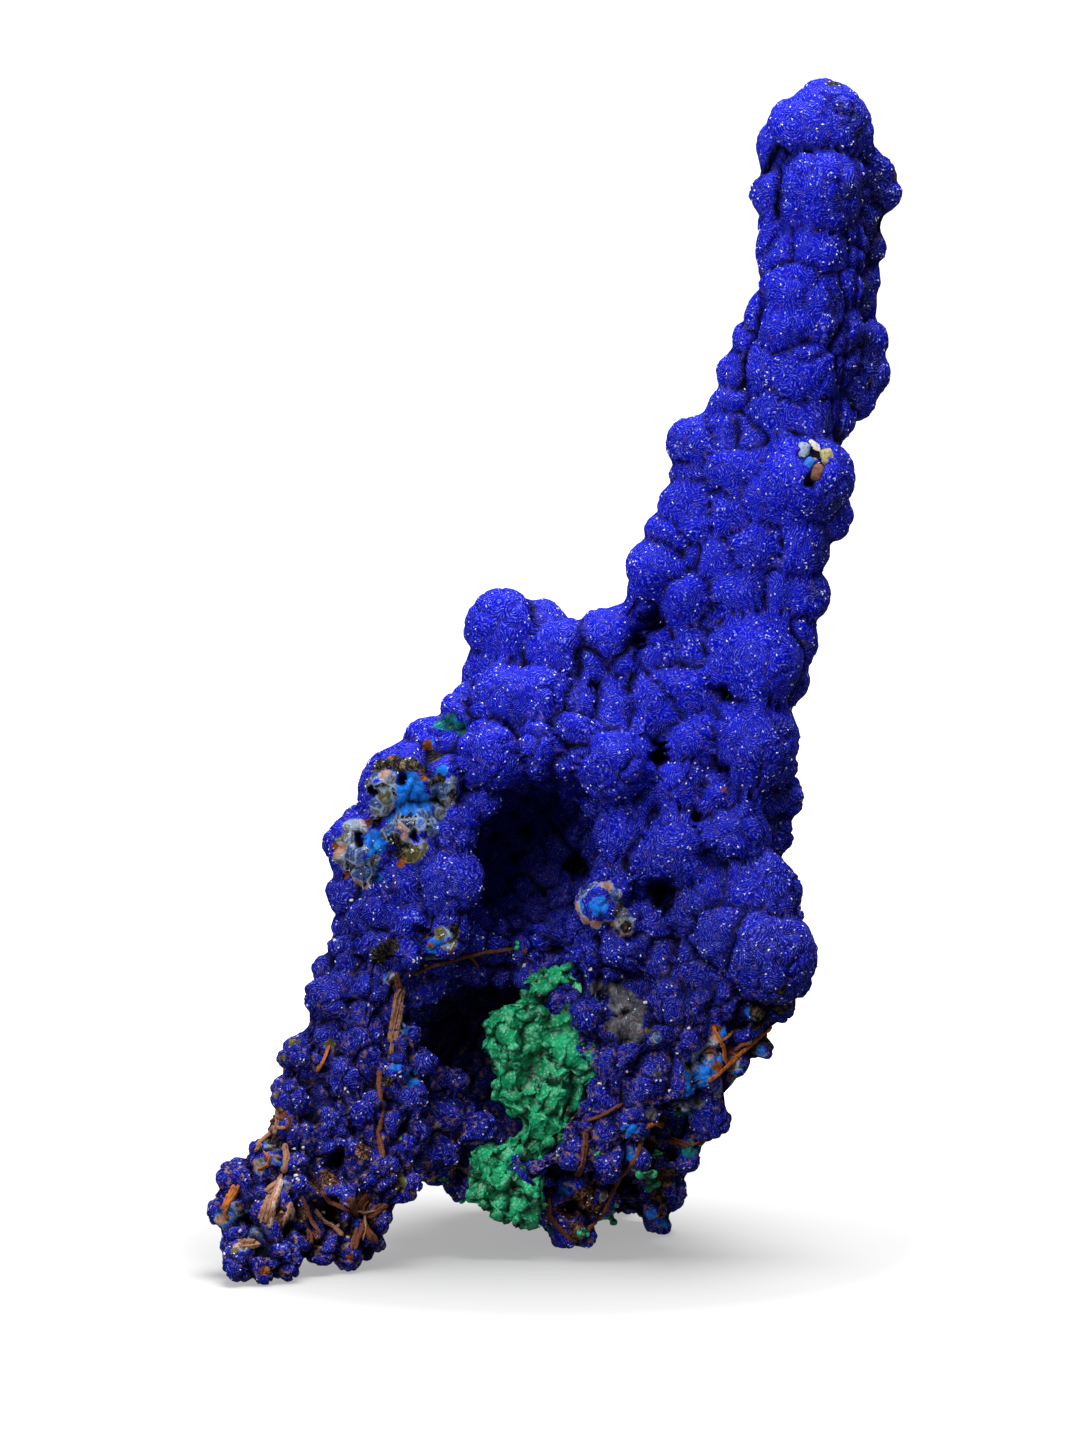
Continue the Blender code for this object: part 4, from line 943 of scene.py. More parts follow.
def thread(shape, path, width, aside, ends, chance):
    """Adds a ridged and wandering thread of half this width, this far aside of a path on the skin.

    It leaves out these shares of the path at its two ends.
    """
    where = np.array([point for point, _ in path])
    out = np.array([normal for _, normal in path])
    steps = max(4, int(np.linalg.norm(np.diff(where, axis=0), axis=1).sum() / THREAD_STEP))
    t = np.linspace(ends[0], 1 - ends[1], steps) * (len(path) - 1)
    knots = np.arange(len(path))
    line = np.stack([np.interp(t, knots, where[:, k]) for k in range(3)], 1)
    out = np.stack([np.interp(t, knots, out[:, k]) for k in range(3)], 1)
    out /= np.linalg.norm(out, axis=1)[:, None]
    along = np.gradient(line, axis=0)
    side = np.cross(out, along)
    side /= np.linalg.norm(side, axis=1)[:, None]
    wide = width * (0.75 + 0.5 * chance.random(steps))
    wide[0] *= 0.5
    wide[-1] *= 0.4
    ridges = 14
    angle = np.arange(ridges) / ridges * math.tau
    raised = 0.35 * chance.uniform(-1, 1, ridges)[None, :]
    bump = 1 + raised + 0.09 * chance.uniform(-1, 1, (steps, ridges))
    sideways = np.cos(angle)[None, :] * wide[:, None] * bump
    upward = np.sin(angle)[None, :] * (0.16 + 0.3 * wide[:, None]) * bump - 0.04
    drift = np.cumsum(chance.uniform(-1, 1, steps)) * 0.12 * width
    middle = line + side * (aside + drift - drift.mean())[:, None] + out * chance.uniform(-0.08, 0.16)
    rings = middle[:, None] + side[:, None] * sideways[..., None] + out[:, None] * upward[..., None]
    ridge = shape.verts.layers.float.get("ridge") or shape.verts.layers.float.new("ridge")
    rows = [[shape.verts.new(place([p])[0]) for p in ring] for ring in rings]
    for row, values in zip(rows, bump):
        for point, value in zip(row, values):
            point[ridge] = value
    for one, two in zip(rows, rows[1:]):
        for k in range(ridges):
            shape.faces.new((one[k], one[k - 1], two[k - 1], two[k]))
    shape.faces.new(rows[0])
    shape.faces.new(rows[-1][::-1])


def finish_piece(piece, material, node):
    """Gives the piece its material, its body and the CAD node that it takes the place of."""
    piece.data.materials.clear()
    piece.data.materials.append(material)
    piece.data.shade_smooth()
    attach(piece, "root")
    if node:
        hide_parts(node)


def surface(name, shader_settings):
    """A new material with its tree, its shader and the Object coordinates in millimetres."""
    material = bpy.data.materials.new(name)
    material.use_nodes = True
    tree = material.node_tree
    shader = tree.nodes["Principled BSDF"]
    for key, value in shader_settings.items():
        shader.inputs[key].default_value = value
    where = add(tree, "ShaderNodeTexCoord")
    scaled = add(tree, "ShaderNodeVectorMath", {0: where.outputs["Object"], 1: (1000, 1000, 1000)},
                 operation="MULTIPLY")
    return material, tree, shader, scaled.outputs[0]


def dress(tree, shader, skin, height, relief):
    """Gives the shader its colour, and bumps that are this many millimetres high."""
    tree.links.new(skin, shader.inputs["Base Color"])
    bump = add(tree, "ShaderNodeBump", {"Height": height, "Distance": relief * MM, "Strength": 1.0})
    tree.links.new(bump.outputs[0], shader.inputs["Normal"])


def broken_ends(tree, mm, tips, look):
    """The colour of broken balls: each of its own mineral, fibrous, with a pale rim around it."""
    cell = add(tree, "ShaderNodeTexVoronoi", {"Vector": mm, "Scale": PER_MM["broken ball"]})
    pick = add(tree, "ShaderNodeSeparateColor", {0: cell.outputs["Color"]})
    minerals = add(tree, "ShaderNodeValToRGB", {0: pick.outputs[0]})
    ramp = minerals.color_ramp
    ramp.interpolation = "CONSTANT"
    kinds = ("ash", "soot", "cerulean", "ash", "olive", "earth_pale", "matrix", "mid")
    for index, kind in enumerate(kinds):
        stop = ramp.elements[0] if index == 0 else ramp.elements.new(index / len(kinds))
        stop.color = (*getattr(look, kind), 1)
    ramp.elements.remove(ramp.elements[-1])
    rim_colour = (*look.ash_pale, 1)
    fibrous = add(tree, "ShaderNodeMix", {0: tips, 6: minerals.outputs[0], 7: rim_colour},
                  data_type="RGBA")
    edge = add(tree, "ShaderNodeTexVoronoi", {"Vector": mm, "Scale": PER_MM["broken ball"]},
               feature="DISTANCE_TO_EDGE")
    rim = add(tree, "ShaderNodeMapRange", {0: edge.outputs["Distance"], 1: 0.1, 2: 0.04, 3: 0.0, 4: 0.6})
    return add(tree, "ShaderNodeMix", {0: rim.outputs[0], 6: fibrous.outputs[2], 7: rim_colour},
               data_type="RGBA").outputs[2]


def azurite_lines(tree, mm):
    """The lines of crystals, their crystals, how strongly each takes the painted highlight, and the bent
    coordinates.
    """
    drift = add(tree, "ShaderNodeTexNoise", {"Vector": mm, "Scale": PER_MM["bend"], "Detail": 2.0})
    bent = add(tree, "ShaderNodeVectorMath", {0: drift.outputs["Color"], 1: (2.6, 2.6, 2.6), 2: mm},
               operation="MULTIPLY_ADD")
    jitter = add(tree, "ShaderNodeTexNoise", {"Vector": mm, "Scale": PER_MM["fray"], "Detail": 2.0})
    frayed = add(tree, "ShaderNodeVectorMath", {
        0: jitter.outputs["Color"], 1: (0.35, 0.35, 0.35), 2: bent.outputs[0]}, operation="MULTIPLY_ADD")
    whorl = add(tree, "ShaderNodeTexVoronoi", {"Vector": frayed.outputs[0], "Scale": PER_MM["whorl"]})
    turns = add(tree, "ShaderNodeMath", {
        0: whorl.outputs["Distance"], 1: math.tau / (WHORL * PER_MM["whorl"])}, operation="MULTIPLY")
    wave = add(tree, "ShaderNodeMath", {0: turns.outputs[0]}, operation="SINE")
    line = add(tree, "ShaderNodeMapRange", {0: wave.outputs[0], 1: 0.0, 2: 1.0, 3: 0.03, 4: 1.0})
    grain = add(tree, "ShaderNodeTexVoronoi", {"Vector": mm, "Scale": 1 / CRYSTAL})
    dot = add(tree, "ShaderNodeMapRange", {0: grain.outputs["Distance"], 1: 0.66, 2: 0.22, 3: 0.1, 4: 1.0})
    pick = add(tree, "ShaderNodeSeparateColor", {0: grain.outputs["Color"]})
    bright = add(tree, "ShaderNodeMapRange", {0: pick.outputs[0], 3: 0.25, 4: 1.05})
    fleck = add(tree, "ShaderNodeMath", {0: line.outputs[0], 1: dot.outputs[0]}, operation="MULTIPLY")
    speck = add(tree, "ShaderNodeMath", {0: fleck.outputs[0], 1: bright.outputs[0]}, operation="MULTIPLY")
    return line.outputs[0], fleck.outputs[0], speck.outputs[0], bent.outputs[0]


def azurite_blue(tree, mm, up, line, speck, look):
    """The blue: deeper low down and between the lines, darker in the inked places (dark crystals and
    painted shade), with a painted pale highlight on the crystals.
    """
    tone = add(tree, "ShaderNodeTexNoise", {"Vector": mm, "Scale": PER_MM["tone"], "Detail": 3.0})
    height = add(tree, "ShaderNodeMapRange", {0: up, 1: 14.0, 2: 56.0, 3: -0.34, 4: 0.08},
                 interpolation_type="SMOOTHSTEP")
    crest = add(tree, "ShaderNodeMath", {0: line, 1: 0.5, 2: height.outputs[0]}, operation="MULTIPLY_ADD")
    depth = add(tree, "ShaderNodeMath", {0: tone.outputs["Fac"], 1: 0.5, 2: crest.outputs[0]},
                operation="MULTIPLY_ADD")
    body = add(tree, "ShaderNodeMix", {0: depth.outputs[0], 6: (*look.deep, 1), 7: (*look.mid, 1)},
               data_type="RGBA")
    # Darker down the right side: dark crystals and painted shade.
    ink_and_shade = add(tree, "ShaderNodeAttribute", attribute_name="ink_and_shade")
    inky = add(tree, "ShaderNodeMix", {0: ink_and_shade.outputs["Fac"], 6: body.outputs[2], 7: (*look.ink_and_shade, 1)},
               data_type="RGBA")
    # Painted highlight: pale violet on the crystals, as strong as the speck is.
    return add(tree, "ShaderNodeMix", {0: speck, 6: inky.outputs[2], 7: (*look.light, 1)},
               data_type="RGBA").outputs[2]


def patched(tree, mm, tips, skin, look):
    """The skin's colour with each kind of PATCHES over it, ragged at its edge."""
    ends = {"ash": broken_ends(tree, mm, tips, look)}
    for turn, kind in enumerate(PATCHES):
        aside = add(tree, "ShaderNodeVectorMath", {0: mm, 1: (17.0 * turn, 0, 0)}, operation="ADD")
        ragged = add(tree, "ShaderNodeTexNoise", {
            "Vector": aside.outputs[0], "Scale": PER_MM["ragged edge"], "Detail": 4.0, "Roughness": 0.65})
        within = add(tree, "ShaderNodeAttribute", attribute_name=kind)
        torn = add(tree, "ShaderNodeMath", {0: ragged.outputs["Fac"], 1: 0.9, 2: within.outputs["Fac"]},
                   operation="MULTIPLY_ADD")
        cover = add(tree, "ShaderNodeMapRange", {0: torn.outputs[0], 1: 0.72, 2: 0.86})
        tint = ends.get(kind)
        if not tint:
            full, pale = getattr(look, kind), getattr(look, kind + "_pale")
            tint = add(tree, "ShaderNodeMix", {0: tips, 6: (*full, 1), 7: (*pale, 1)},
                       data_type="RGBA").outputs[2]
        skin = add(tree, "ShaderNodeMix", {0: cover.outputs[0], 6: skin, 7: tint},
                   data_type="RGBA").outputs[2]
    return skin


def stained(tree, mm, up, tips, crevice_shade, skin, look):
    """The skin's colour with brown and olive stain beside the creases, most of it low down."""
    low = add(tree, "ShaderNodeMapRange", {0: up, 1: 28.0, 2: 10.0, 3: 0.15, 4: 1.0})
    edge = add(tree, "ShaderNodeMapRange", {0: crevice_shade, 1: 0.04, 2: 0.3})
    beside = add(tree, "ShaderNodeMath", {0: edge.outputs[0], 1: low.outputs[0]}, operation="MULTIPLY")
    blotch = add(tree, "ShaderNodeTexNoise", {
        "Vector": mm, "Scale": PER_MM["stain"], "Detail": 5.0, "Roughness": 0.75})
    spread = add(tree, "ShaderNodeMapRange", {0: blotch.outputs["Fac"], 1: 0.54, 2: 0.62})
    stain = add(tree, "ShaderNodeMath", {0: spread.outputs[0], 1: beside.outputs[0]}, operation="MULTIPLY")
    crust = add(tree, "ShaderNodeMix", {0: tips, 6: (*look.earth_pale, 1), 7: (*look.olive_pale, 1)},
                data_type="RGBA")
    return add(tree, "ShaderNodeMix", {0: stain.outputs[0], 6: skin, 7: crust.outputs[2]},
               data_type="RGBA").outputs[2]


def azurite_material(look):
    """Azurite, a copper carbonate grown as velvety balls of 0.2 mm crystals.

    Between the crystals it is deep blue, and each crystal's top has a painted pale violet highlight,
    in whorls like a fingerprint. A face here and there throws the light back white (painted glints).
    """
    material, tree, shader, mm = surface("Azurite grown as botryoidal druse", {
        "IOR": 1.73, "Roughness": 0.5})
    line, fleck, speck, bent = azurite_lines(tree, mm)
    up = add(tree, "ShaderNodeSeparateXYZ", {0: mm}).outputs[2]
    fibre = add(tree, "ShaderNodeTexNoise", {
        "Vector": bent, "Scale": PER_MM["fibre"], "Detail": 3.0, "Roughness": 0.7})
    tips = add(tree, "ShaderNodeMapRange", {0: fibre.outputs["Fac"], 1: 0.5, 2: 0.74}).outputs[0]
    crevice_shade = add(tree, "ShaderNodeAttribute", attribute_name="crevice_shade").outputs["Fac"]
    skin = patched(tree, mm, tips, azurite_blue(tree, mm, up, line, speck, look), look)
    skin = stained(tree, mm, up, tips, crevice_shade, skin, look)
    # Painted shade: the colour runs to the near-black crevice blue as far as the point is shut in a crease
    # or deep in a hollow.
    shut = add(tree, "ShaderNodeMapRange", {0: crevice_shade, 1: 0.1, 2: 0.95})
    shaded = add(tree, "ShaderNodeMix", {0: shut.outputs[0], 6: skin, 7: (*look.shade, 1)},
                 data_type="RGBA")
    open_air = add(tree, "ShaderNodeMath", {0: 1.0, 1: shut.outputs[0]}, operation="SUBTRACT")
    raised = add(tree, "ShaderNodeMath", {0: speck, 1: open_air.outputs[0]}, operation="MULTIPLY")
    shine = add(tree, "ShaderNodeMapRange", {0: raised.outputs[0], 3: 0.02, 4: 0.3})
    tree.links.new(shine.outputs[0], shader.inputs["Specular IOR Level"])
    dress(tree, shader, shaded.outputs[2], fleck, 0.08)
    return material


def malachite_material(look):
    """Malachite, a green copper carbonate, here as a satin lumpy crust on the blue."""
    material, tree, shader, mm = surface("Malachite grown as a satin crust", {
        "IOR": 1.75, "Roughness": 0.38, "Specular IOR Level": 0.22})
    drift = add(tree, "ShaderNodeTexNoise", {"Vector": mm, "Scale": PER_MM["green"], "Detail": 4.0})
    amount = add(tree, "ShaderNodeMapRange", {0: drift.outputs["Fac"], 1: 0.35, 2: 0.65})
    body = add(tree, "ShaderNodeMix", {
        0: amount.outputs[0], 6: (*look.malachite_deep, 1), 7: (*look.malachite, 1)}, data_type="RGBA")
    # Pale crystal tops: paler malachite crystals, and painted highlight on them.
    grain = add(tree, "ShaderNodeTexVoronoi", {"Vector": mm, "Scale": PER_MM["green crystal"]})
    dot = add(tree, "ShaderNodeMapRange", {0: grain.outputs["Distance"], 1: 0.6, 2: 0.1})
    half = add(tree, "ShaderNodeMath", {0: dot.outputs[0], 1: 0.55}, operation="MULTIPLY")
    lit = add(tree, "ShaderNodeMix", {
        0: half.outputs[0], 6: body.outputs[2], 7: (*look.malachite_light, 1)}, data_type="RGBA")
    crevice_shade = add(tree, "ShaderNodeAttribute", attribute_name="crevice_shade")
    # Painted shade: the colour runs to the dark crevice green in the creases of the crust.
    shut = add(tree, "ShaderNodeMapRange", {0: crevice_shade.outputs["Fac"], 1: 0.1, 2: 0.95})
    shaded = add(tree, "ShaderNodeMix", {
        0: shut.outputs[0], 6: lit.outputs[2], 7: (*look.malachite_shade, 1)}, data_type="RGBA")
    dress(tree, shader, shaded.outputs[2], dot.outputs[0], 0.05)
    return material


def limonite_material(kind, rust, soot):
    """Limonite, an iron oxide, left in cracks as dull strips that split along their length."""
    material, tree, shader, mm = surface("Limonite split along cracks, " + kind, {
        "Roughness": 0.75, "Specular IOR Level": 0.2})
    flaws = add(tree, "ShaderNodeTexNoise", {
        "Vector": mm, "Scale": PER_MM["split"], "Detail": 4.0, "Roughness": 0.7})
    ridge = add(tree, "ShaderNodeAttribute", attribute_name="ridge")
    # Darker soot where a thread sinks between its ridges: painted shade, with the flaws' own dark cracks
    # over it.
    raised = add(tree, "ShaderNodeMath", {0: ridge.outputs["Fac"], 1: 0.45, 2: flaws.outputs["Fac"]},
                 operation="MULTIPLY_ADD")
    amount = add(tree, "ShaderNodeMapRange", {0: raised.outputs[0], 1: 0.66, 2: 0.98})
    body = add(tree, "ShaderNodeMix", {0: amount.outputs[0], 6: (*soot, 1), 7: (*rust, 1)},
               data_type="RGBA")
    dress(tree, shader, body.outputs[2], flaws.outputs["Fac"], 0.3)
    return material


def grain_material(kind, tone, soot):
    """Worn grains of quartz and iron minerals, glassy where they aren't pitted."""
    material, tree, shader, mm = surface("Worn mineral grain, " + kind, {
        "Roughness": 0.35, "Specular IOR Level": 0.5})
    flaws = add(tree, "ShaderNodeTexNoise", {
        "Vector": mm, "Scale": PER_MM["pit"], "Detail": 4.0, "Roughness": 0.7})
    amount = add(tree, "ShaderNodeMapRange", {0: flaws.outputs["Fac"], 1: 0.36, 2: 0.5, 3: 0.35, 4: 1.0})
    body = add(tree, "ShaderNodeMix", {0: amount.outputs[0], 6: (*soot, 1), 7: (*tone, 1)},
               data_type="RGBA")
    dress(tree, shader, body.outputs[2], flaws.outputs["Fac"], 0.12)
    return material


def glint_material(look):
    """Single azurite crystals whose faces throw the lamp back, coloured with a painted pale violet to
    white glint.
    """
    material, tree, shader, mm = surface("Azurite crystal faces in the light", {
        "Roughness": 0.35, "Specular IOR Level": 0.5})
    cell = add(tree, "ShaderNodeTexVoronoi", {"Vector": mm, "Scale": PER_MM["glint"]})
    pick = add(tree, "ShaderNodeSeparateColor", {0: cell.outputs["Color"]})
    amount = add(tree, "ShaderNodeMapRange", {0: pick.outputs[0], 1: 0.1, 2: 0.9})
    body = add(tree, "ShaderNodeMix", {0: amount.outputs[0], 6: (*look.light, 1), 7: (*look.glint, 1)},
               data_type="RGBA")
    tree.links.new(body.outputs[2], shader.inputs["Base Color"])
    return material


def druse(piece, density, radius, material):
    """Turns the piece into three-sided crystals strewn over its skin, where it is open.

    The density is on a square millimetre, and the radius is in metres.
    """
    tree, source = node_group(piece.name + " druse", {"Crystals on a square metre": "Float",
                                                      "Crystal radius": "Float"})
    crevice_shade = add(tree, "GeometryNodeInputNamedAttribute", {"Name": "crevice_shade"}, data_type="FLOAT")
    open_air = add(tree, "ShaderNodeMapRange", {
        0: crevice_shade.outputs["Attribute"], 1: 0.05, 2: 0.3, 3: 1.0, 4: 0.0})
    number = add(tree, "ShaderNodeMath", {
        0: open_air.outputs[0], 1: source.outputs["Crystals on a square metre"]}, operation="MULTIPLY")
    spots = add(tree, "GeometryNodeDistributePointsOnFaces", {
        "Mesh": source.outputs["Geometry"], "Density": number.outputs[0], "Seed": SEED})
    crystal = add(tree, "GeometryNodeMeshCone", {
        "Vertices": 3, "Radius Top": 0.0, "Radius Bottom": source.outputs["Crystal radius"],
        "Depth": source.outputs["Crystal radius"]})
    size = add(tree, "FunctionNodeRandomValue", {
        "Min": (0.6, 0.7, 0.4), "Max": (1.0, 1.8, 0.8), "Seed": SEED}, data_type="FLOAT_VECTOR")
    tip = add(tree, "FunctionNodeRandomValue", {
        "Min": (-0.25, -0.25, 0), "Max": (0.25, 0.25, math.tau), "Seed": SEED + 1},
              data_type="FLOAT_VECTOR")
    tilt = add(tree, "FunctionNodeRotateRotation", {
        "Rotation": spots.outputs["Rotation"], "Rotate By": tip.outputs["Value"]}, rotation_space="LOCAL")
    copies = add(tree, "GeometryNodeInstanceOnPoints", {
        "Points": spots.outputs["Points"], "Instance": crystal.outputs["Mesh"],
        "Scale": size.outputs["Value"], "Rotation": tilt.outputs["Rotation"]})
    make_real(tree, copies, material)
    run(piece, tree, {"Crystals on a square metre": density / MM**2, "Crystal radius": radius})


def colour(name, hex_colour, description):
    """A colour that the user can change."""
    return FloatVectorProperty(name=name, description=description, subtype="COLOR", size=3, min=0, max=1,
                               default=linear(hex_colour)[:3])


def length(name, millimetres, description):
    """A length that the user can change."""
    return FloatProperty(name=name, description=description, subtype="DISTANCE", unit="LENGTH", min=0,
                         default=millimetres * MM)


class AzuriteLook(bpy.types.PropertyGroup):
    """The colours of the minerals."""

    # The deep blue is mixed in by height, tone and the lines of crystals, not by which way a ball faces:
    # darker towards the bottom and between the lines.
    deep: colour("Deep blue", "#040A7C", "Azurite where the balls face away")
    mid: colour("Royal blue", "#0712EE", "Azurite over most of the balls")
    # Painted highlight: the pale violet laid on the crystal tops along the lines.
    light: colour("Crystal edge", "#8A98F4", "Edges of the azurite crystals")
    # Painted glint: the white base colour of the glint crystals, beside their real shine.
    glint: colour("Glint", "#FBF8FF", "Crystal faces that throw the light back")
    # Painted shade: the near-black blue laid in the creases, the gaps and deep in the hollows.
    shade: colour("Crevice", "#010112", "Between the balls")
    malachite: colour("Malachite", "#0CB072", "Green crust")
    malachite_deep: colour("Deep malachite", "#047A4A", "Green crust where it is thick")
    # Paler crystals of the crust, with painted highlight on their tops.
    malachite_light: colour("Pale malachite", "#74E0B0", "Crystals of the green crust")
    # Painted shade between the lumps of the green crust.
    malachite_shade: colour("Malachite crevice", "#042417", "Between the lumps of the green crust")
    cerulean: colour("Cerulean", "#1173EA", "Broken azurite, bright")
    cerulean_pale: colour("Pale cerulean", "#3FA0E8", "Broken azurite where light shines through")
    # Dark crystals and painted shade down the right side of the spire and crown.
    ink_and_shade: colour("Ink", "#030756", "Azurite in large dark crystals")
    teal: colour("Teal", "#0E6F7C", "Azurite that is turning to malachite")
    teal_pale: colour("Pale teal", "#3CC0A8", "The same, where it is thin")
    ash: colour("Ash", "#2F4A84", "Fibrous grey on broken azurite")
    ash_pale: colour("Pale ash", "#A2B4CE", "Tips of the grey fibres")
    speckled: colour("Dark speckle", "#0E0F14", "Crumbled rock between broken balls")
    speckled_pale: colour("Tan speckle", "#8F8468", "Grains in it")
    olive: colour("Olive", "#5A5832", "Weathered, glassy places")
    olive_pale: colour("Pale olive", "#B8AE74", "The same, where it is worn")
    rust: colour("Rust", "#7A3A12", "Iron stain")
    rust_pale: colour("Pale rust", "#D88A38", "The same, where it is thin")
    earth: colour("Earth", "#2A1712", "Brown limonite in pits")
    earth_pale: colour("Pale earth", "#C08A68", "The same, on its ridges")
    matrix: colour("Matrix", "#5A5B63", "Porous grey rock")
    matrix_pale: colour("Pale matrix", "#A2A2A8", "The same, on its ridges")
    tan: colour("Tan limonite", "#B08064", "Wide strips of limonite")
    brown: colour("Brown limonite", "#7A4630", "Thin strips of limonite")
    orange: colour("Orange limonite", "#C4702E", "Bright strips of limonite")
    pale: colour("Pale limonite", "#CDB0A4", "Strips that are worn pale")
    chalk: colour("Chalk white", "#E4E0D2", "Grains of quartz")
    # Also laid in the grooves between the limonite ridges as painted shade.
    soot: colour("Soot", "#140B0A", "Cracks in the limonite")


class AzuriteSizes(bpy.types.PropertyGroup):
    """The sizes of what grows on the stone."""

    grain: length("Grain", 0.34, "Finest shape in the stone's skin")
    glint: length("Glint", 0.15, "Radius of the crystals that throw the light back")
    glints: FloatProperty(name="Glints", description="Glints on a square millimetre", default=0.9, min=0)
    triangles: IntProperty(name="Triangles", description="Most triangles in the stone's skin",
                           default=196000, min=1000)


class AZURITE_OT_stone(bpy.types.Operator):
    """Grow the azurite: cores, hollows, globules and the small lumps on them"""

    bl_idname = "azurite.stone"
    bl_label = "Grow the stone"

    def execute(self, context):
        sizes = context.scene.azurite_sizes
        azurite = azurite_material(context.scene.azurite_look)
        chance = np.random.default_rng(SEED)
        cores = np.array(SPIRE_CORE + BODY_CORE + FLOOR_CORE + FOOT_CORE)
        stone = ball_swarm("azurite_skin", cores + (0, 0, 0, GROWN), 4, azurite, chance)
        fuse(stone, CORE_GRAIN)
        carve(stone, hollow_block())
        lobes = SPIRE + WAIST + CROWN + HAUNCH + LEDGE + LEFT_LEG
        lobes += back_globules(SPIRE_CORE, GLOBULES["spire"], SPIRE_SUNK, chance)
        lobes += back_globules(BODY_CORE, GLOBULES["body"], 0.0, chance)
        lobes += back_globules(FOOT_CORE, GLOBULES["foot"], 0.0, chance)
        lobes += lining_globules(GLOBULES["lining"], chance)
        coat = ball_swarm("globules", np.array(balls_of(lobes)) + (0, 0, 0, GROWN), 4, azurite, chance)
        stone = join([stone, coat])
        fuse(stone, sizes.grain / MM)
        swell(stone, lobes, GROWN, stone_creases, stone_roughness, chance)
        press_gaps(stone)
        thin_out(stone, sizes.triangles)
        stand_on_floor(stone)
        keep_largest(stone)
        dim_hollows(stone.data)
        paint_patches(stone, front_finder(stone))
        finish_piece(stone, azurite, "azurite_body")
        return {"FINISHED"}


def grain(shape, where, half_width, half_height, turn):
    """Adds a worn, blocky grain that is set into the surface at where."""
    depth = min(half_width, half_height)
    spin = Matrix.Rotation(math.radians(-turn), 4, "Y")
    size = Matrix.Diagonal((half_width, depth, half_height, 1))
    across, back, up = where
    middle = Matrix.Translation((across, back + 0.6 * depth, up))
    for point in bmesh.ops.create_icosphere(shape, subdivisions=3, radius=1)["verts"]:
        blocky = Vector([math.copysign(abs(c) ** 0.6, c) for c in point.co])
        blocky *= 1 + 0.12 * noise.noise(point.co * 1.7 + Vector((across, up, 0)))
        point.co = upright() @ middle @ spin @ size @ blocky


class AZURITE_OT_limonite(bpy.types.Operator):
    """Grow the limonite strips along the cracks of the stone"""

    bl_idname = "azurite.limonite"
    bl_label = "Grow the limonite"

    def execute(self, context):
        look = context.scene.azurite_look
        chance = np.random.default_rng(SEED + 2)
        find = front_finder(bpy.data.objects["azurite_skin"])
        for kind, strips in VEINS.items():
            shape = bmesh.new()
            for width, route in strips:
                plank(shape, bridged(find, route), width, chance)
            veins = piece_of("limonite_" + kind, shape)
            limonite = limonite_material(kind, getattr(look, kind), look.soot)
            finish_piece(veins, limonite, None)
        return {"FINISHED"}


class AZURITE_OT_grains(bpy.types.Operator):
    """Set the grains of other minerals in the surface"""

    bl_idname = "azurite.grains"
    bl_label = "Set the mineral grains"

    def execute(self, context):
        look = context.scene.azurite_look
        find = front_finder(bpy.data.objects["azurite_skin"])
        for kind, spots in GRAINS.items():
            shape = bmesh.new()
            for across, up, half_width, half_height, turn in spots:
                where, _ = find(across, up)
                grain(shape, (across, where.y, up), half_width, half_height, turn)
            grains = piece_of("grains_" + kind, shape)
            mineral = grain_material(kind, getattr(look, kind), look.soot)
            finish_piece(grains, mineral, None)
        return {"FINISHED"}


class AZURITE_OT_glints(bpy.types.Operator):
    """Scatter the azurite crystals that throw the light back"""

    bl_idname = "azurite.glints"
    bl_label = "Scatter the glints"

    def execute(self, context):
        sizes = context.scene.azurite_sizes
        faces = glint_material(context.scene.azurite_look)
        stone = bpy.data.objects["azurite_skin"]
        glints = new_object("azurite_glints", stone.data.copy())
        druse(glints, sizes.glints, sizes.glint, faces)
        finish_piece(glints, faces, None)
        return {"FINISHED"}


class AZURITE_OT_malachite(bpy.types.Operator):
    """Grow the malachite crust in the lower hollow and its lumps elsewhere"""

    bl_idname = "azurite.malachite"
    bl_label = "Grow the malachite"

    def execute(self, context):
        chance = np.random.default_rng(SEED + 1)
        green = malachite_material(context.scene.azurite_look)
        balls = np.array(MALACHITE) + (0, 0, 0, CRUST_GROWN)
        crust = ball_swarm("malachite_crust_skin", balls, 3, green, chance)
        fuse(crust, CRUST_GRAIN)
        flat = leaning(crust.data)
        uneven = flat + 0.7 * wandering(flat, 2.4, 5) + 0.4 * wandering(flat, 0.9, 6)
        reshape(crust.data, place(uneven) / MM)
        swell(crust, MALACHITE, 1.0, even(0.35), even(0.5), chance)
        thin_out(crust, CRUST_TRIANGLES)
        keep_largest(crust)
        finish_piece(crust, green, "malachite_crust")

        find = front_finder(bpy.data.objects["azurite_skin"])
        lumps = []
        for across, up, radius in GREEN_SPOTS:
            where, _ = find(across, up)
            for _ in range(5):
                shift = radius * chance.uniform(-0.6, 0.6, 3)
                size = radius * chance.uniform(0.35, 0.65)
                lumps.append((*(np.array(where) + shift * (1, 0.4, 1)), size))
        spots = ball_swarm("malachite_spots", lumps, 3, green, chance)
        fuse(spots, SPOT_GRAIN)
        swell(spots, lumps, 0.0, even(0.1), even(0.5), chance)
        thin_out(spots, CRUST_TRIANGLES)
        stand_on_floor(spots)
        finish_piece(spots, green, None)
        return {"FINISHED"}


def lamp(name, where, aim, size, power):
    """A round softbox at where that faces aim, size metres across, of this many watts."""
    light = bpy.data.lights.new(name, "AREA")
    light.shape = "DISK"
    light.size = size
    light.energy = power
    holder = new_object(name, light)
    holder.location = where
    holder.rotation_euler = (Vector(aim) - Vector(where)).to_track_quat("-Z", "Y").to_euler()
    return holder


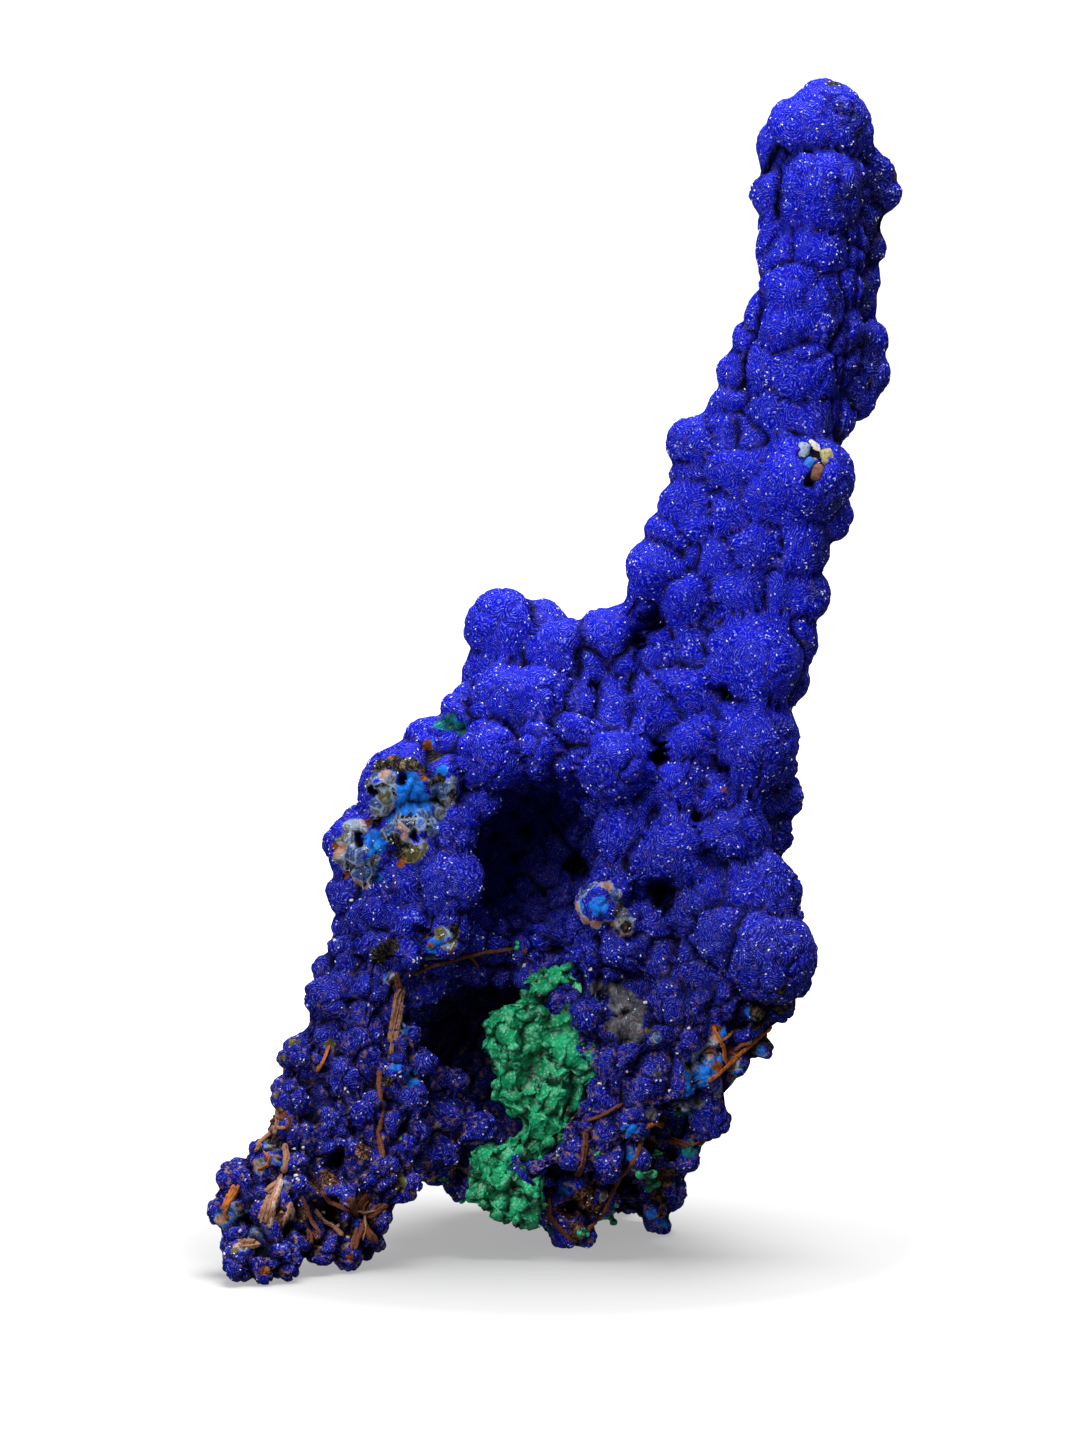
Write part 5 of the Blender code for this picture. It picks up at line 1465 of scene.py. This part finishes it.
def paper_sweep():
    """Matt white paper that glows more away from the stone, so that it is even white out there."""
    paper = bpy.data.materials.new("White paper sweep")
    paper.use_nodes = True
    tree = paper.node_tree
    shader = tree.nodes["Principled BSDF"]
    shader.inputs["Base Color"].default_value = linear("#BCBCBC")
    shader.inputs["Roughness"].default_value = 0.9
    shader.inputs["Emission Color"].default_value = linear("#FFFFFF")
    where = add(tree, "ShaderNodeTexCoord")
    away = add(tree, "ShaderNodeVectorMath", {0: where.outputs["Object"]}, operation="LENGTH")
    fade = add(tree, "ShaderNodeMapRange", {
        0: away.outputs["Value"], 1: 0.032, 2: 0.06, 3: 0.36, 4: 1.0})
    tree.links.new(fade.outputs[0], shader.inputs["Emission Strength"])
    return paper


class AZURITE_OT_stage(bpy.types.Operator):
    """Set the table, the lights and the camera"""

    bl_idname = "azurite.stage"
    bl_label = "Set the stage"

    def execute(self, context):
        scene = context.scene
        bpy.ops.mesh.primitive_plane_add(size=8)
        table = context.object
        table.name = "table"
        table.data.materials.append(paper_sweep())
        table.visible_diffuse = table.visible_glossy = False

        world = bpy.data.worlds.new("Soft white room")
        world.use_nodes = True
        background = world.node_tree.nodes["Background"]
        background.inputs["Color"].default_value = (1, 1, 1, 1)
        background.inputs["Strength"].default_value = 0.17
        scene.world = world
        lamp("softbox overhead", (0.07, 0.13, 0.58), (0, 0, 0.045), size=0.45, power=5.0)
        front = lamp("softbox in front", (-0.2, -0.36, 0.34), (0.01, 0, 0.07), size=0.3, power=2.5)
        unlit = bpy.data.collections.new("lit from above alone")
        unlit.objects.link(table)
        front.light_linking.receiver_collection = unlit
        unlit.collection_objects[0].light_linking.link_state = "EXCLUDE"

        camera = bpy.data.cameras.new("camera")
        camera.lens = LENS
        camera.sensor_width = SENSOR
        camera.clip_end = 20
        view = new_object("camera", camera)
        back = Vector((0, -math.cos(LEAN), math.sin(LEAN)))
        view.location = upright() @ Vector(VIEW_MIDDLE) + back * (LENS / SENSOR * VIEW_HEIGHT)
        view.rotation_euler = (math.pi / 2 - LEAN, 0, 0)
        scene.camera = view
        scene.view_settings.view_transform = "Standard"
        return {"FINISHED"}


class AZURITE_PT_sidebar(bpy.types.Panel):
    """The specimen's steps, sizes and colours"""

    bl_idname = "AZURITE_PT_sidebar"
    bl_label = "Azurite specimen"
    bl_space_type = "VIEW_3D"
    bl_region_type = "UI"
    bl_category = "Azurite"

    def draw(self, context):
        for step in STEPS:
            self.layout.operator(step.bl_idname)
        for settings in (context.scene.azurite_sizes, context.scene.azurite_look):
            for key in settings.__annotations__:
                self.layout.prop(settings, key)


STEPS = (AZURITE_OT_stone, AZURITE_OT_malachite, AZURITE_OT_limonite, AZURITE_OT_grains,
         AZURITE_OT_glints, AZURITE_OT_stage)
CLASSES = (AzuriteLook, AzuriteSizes, *STEPS, AZURITE_PT_sidebar)


def register():
    """Makes the steps, the panel and the settings known to Blender."""
    for each in CLASSES:
        bpy.utils.register_class(each)
    bpy.types.Scene.azurite_look = PointerProperty(type=AzuriteLook)
    bpy.types.Scene.azurite_sizes = PointerProperty(type=AzuriteSizes)


def unregister():
    """Takes them away again."""
    del bpy.types.Scene.azurite_sizes
    del bpy.types.Scene.azurite_look
    for each in reversed(CLASSES):
        bpy.utils.unregister_class(each)


def main():
    """Makes everything in order."""
    register()
    for step in STEPS:
        getattr(bpy.ops.azurite, step.bl_idname.split(".")[1])()


if __name__ == "__main__":
    main()
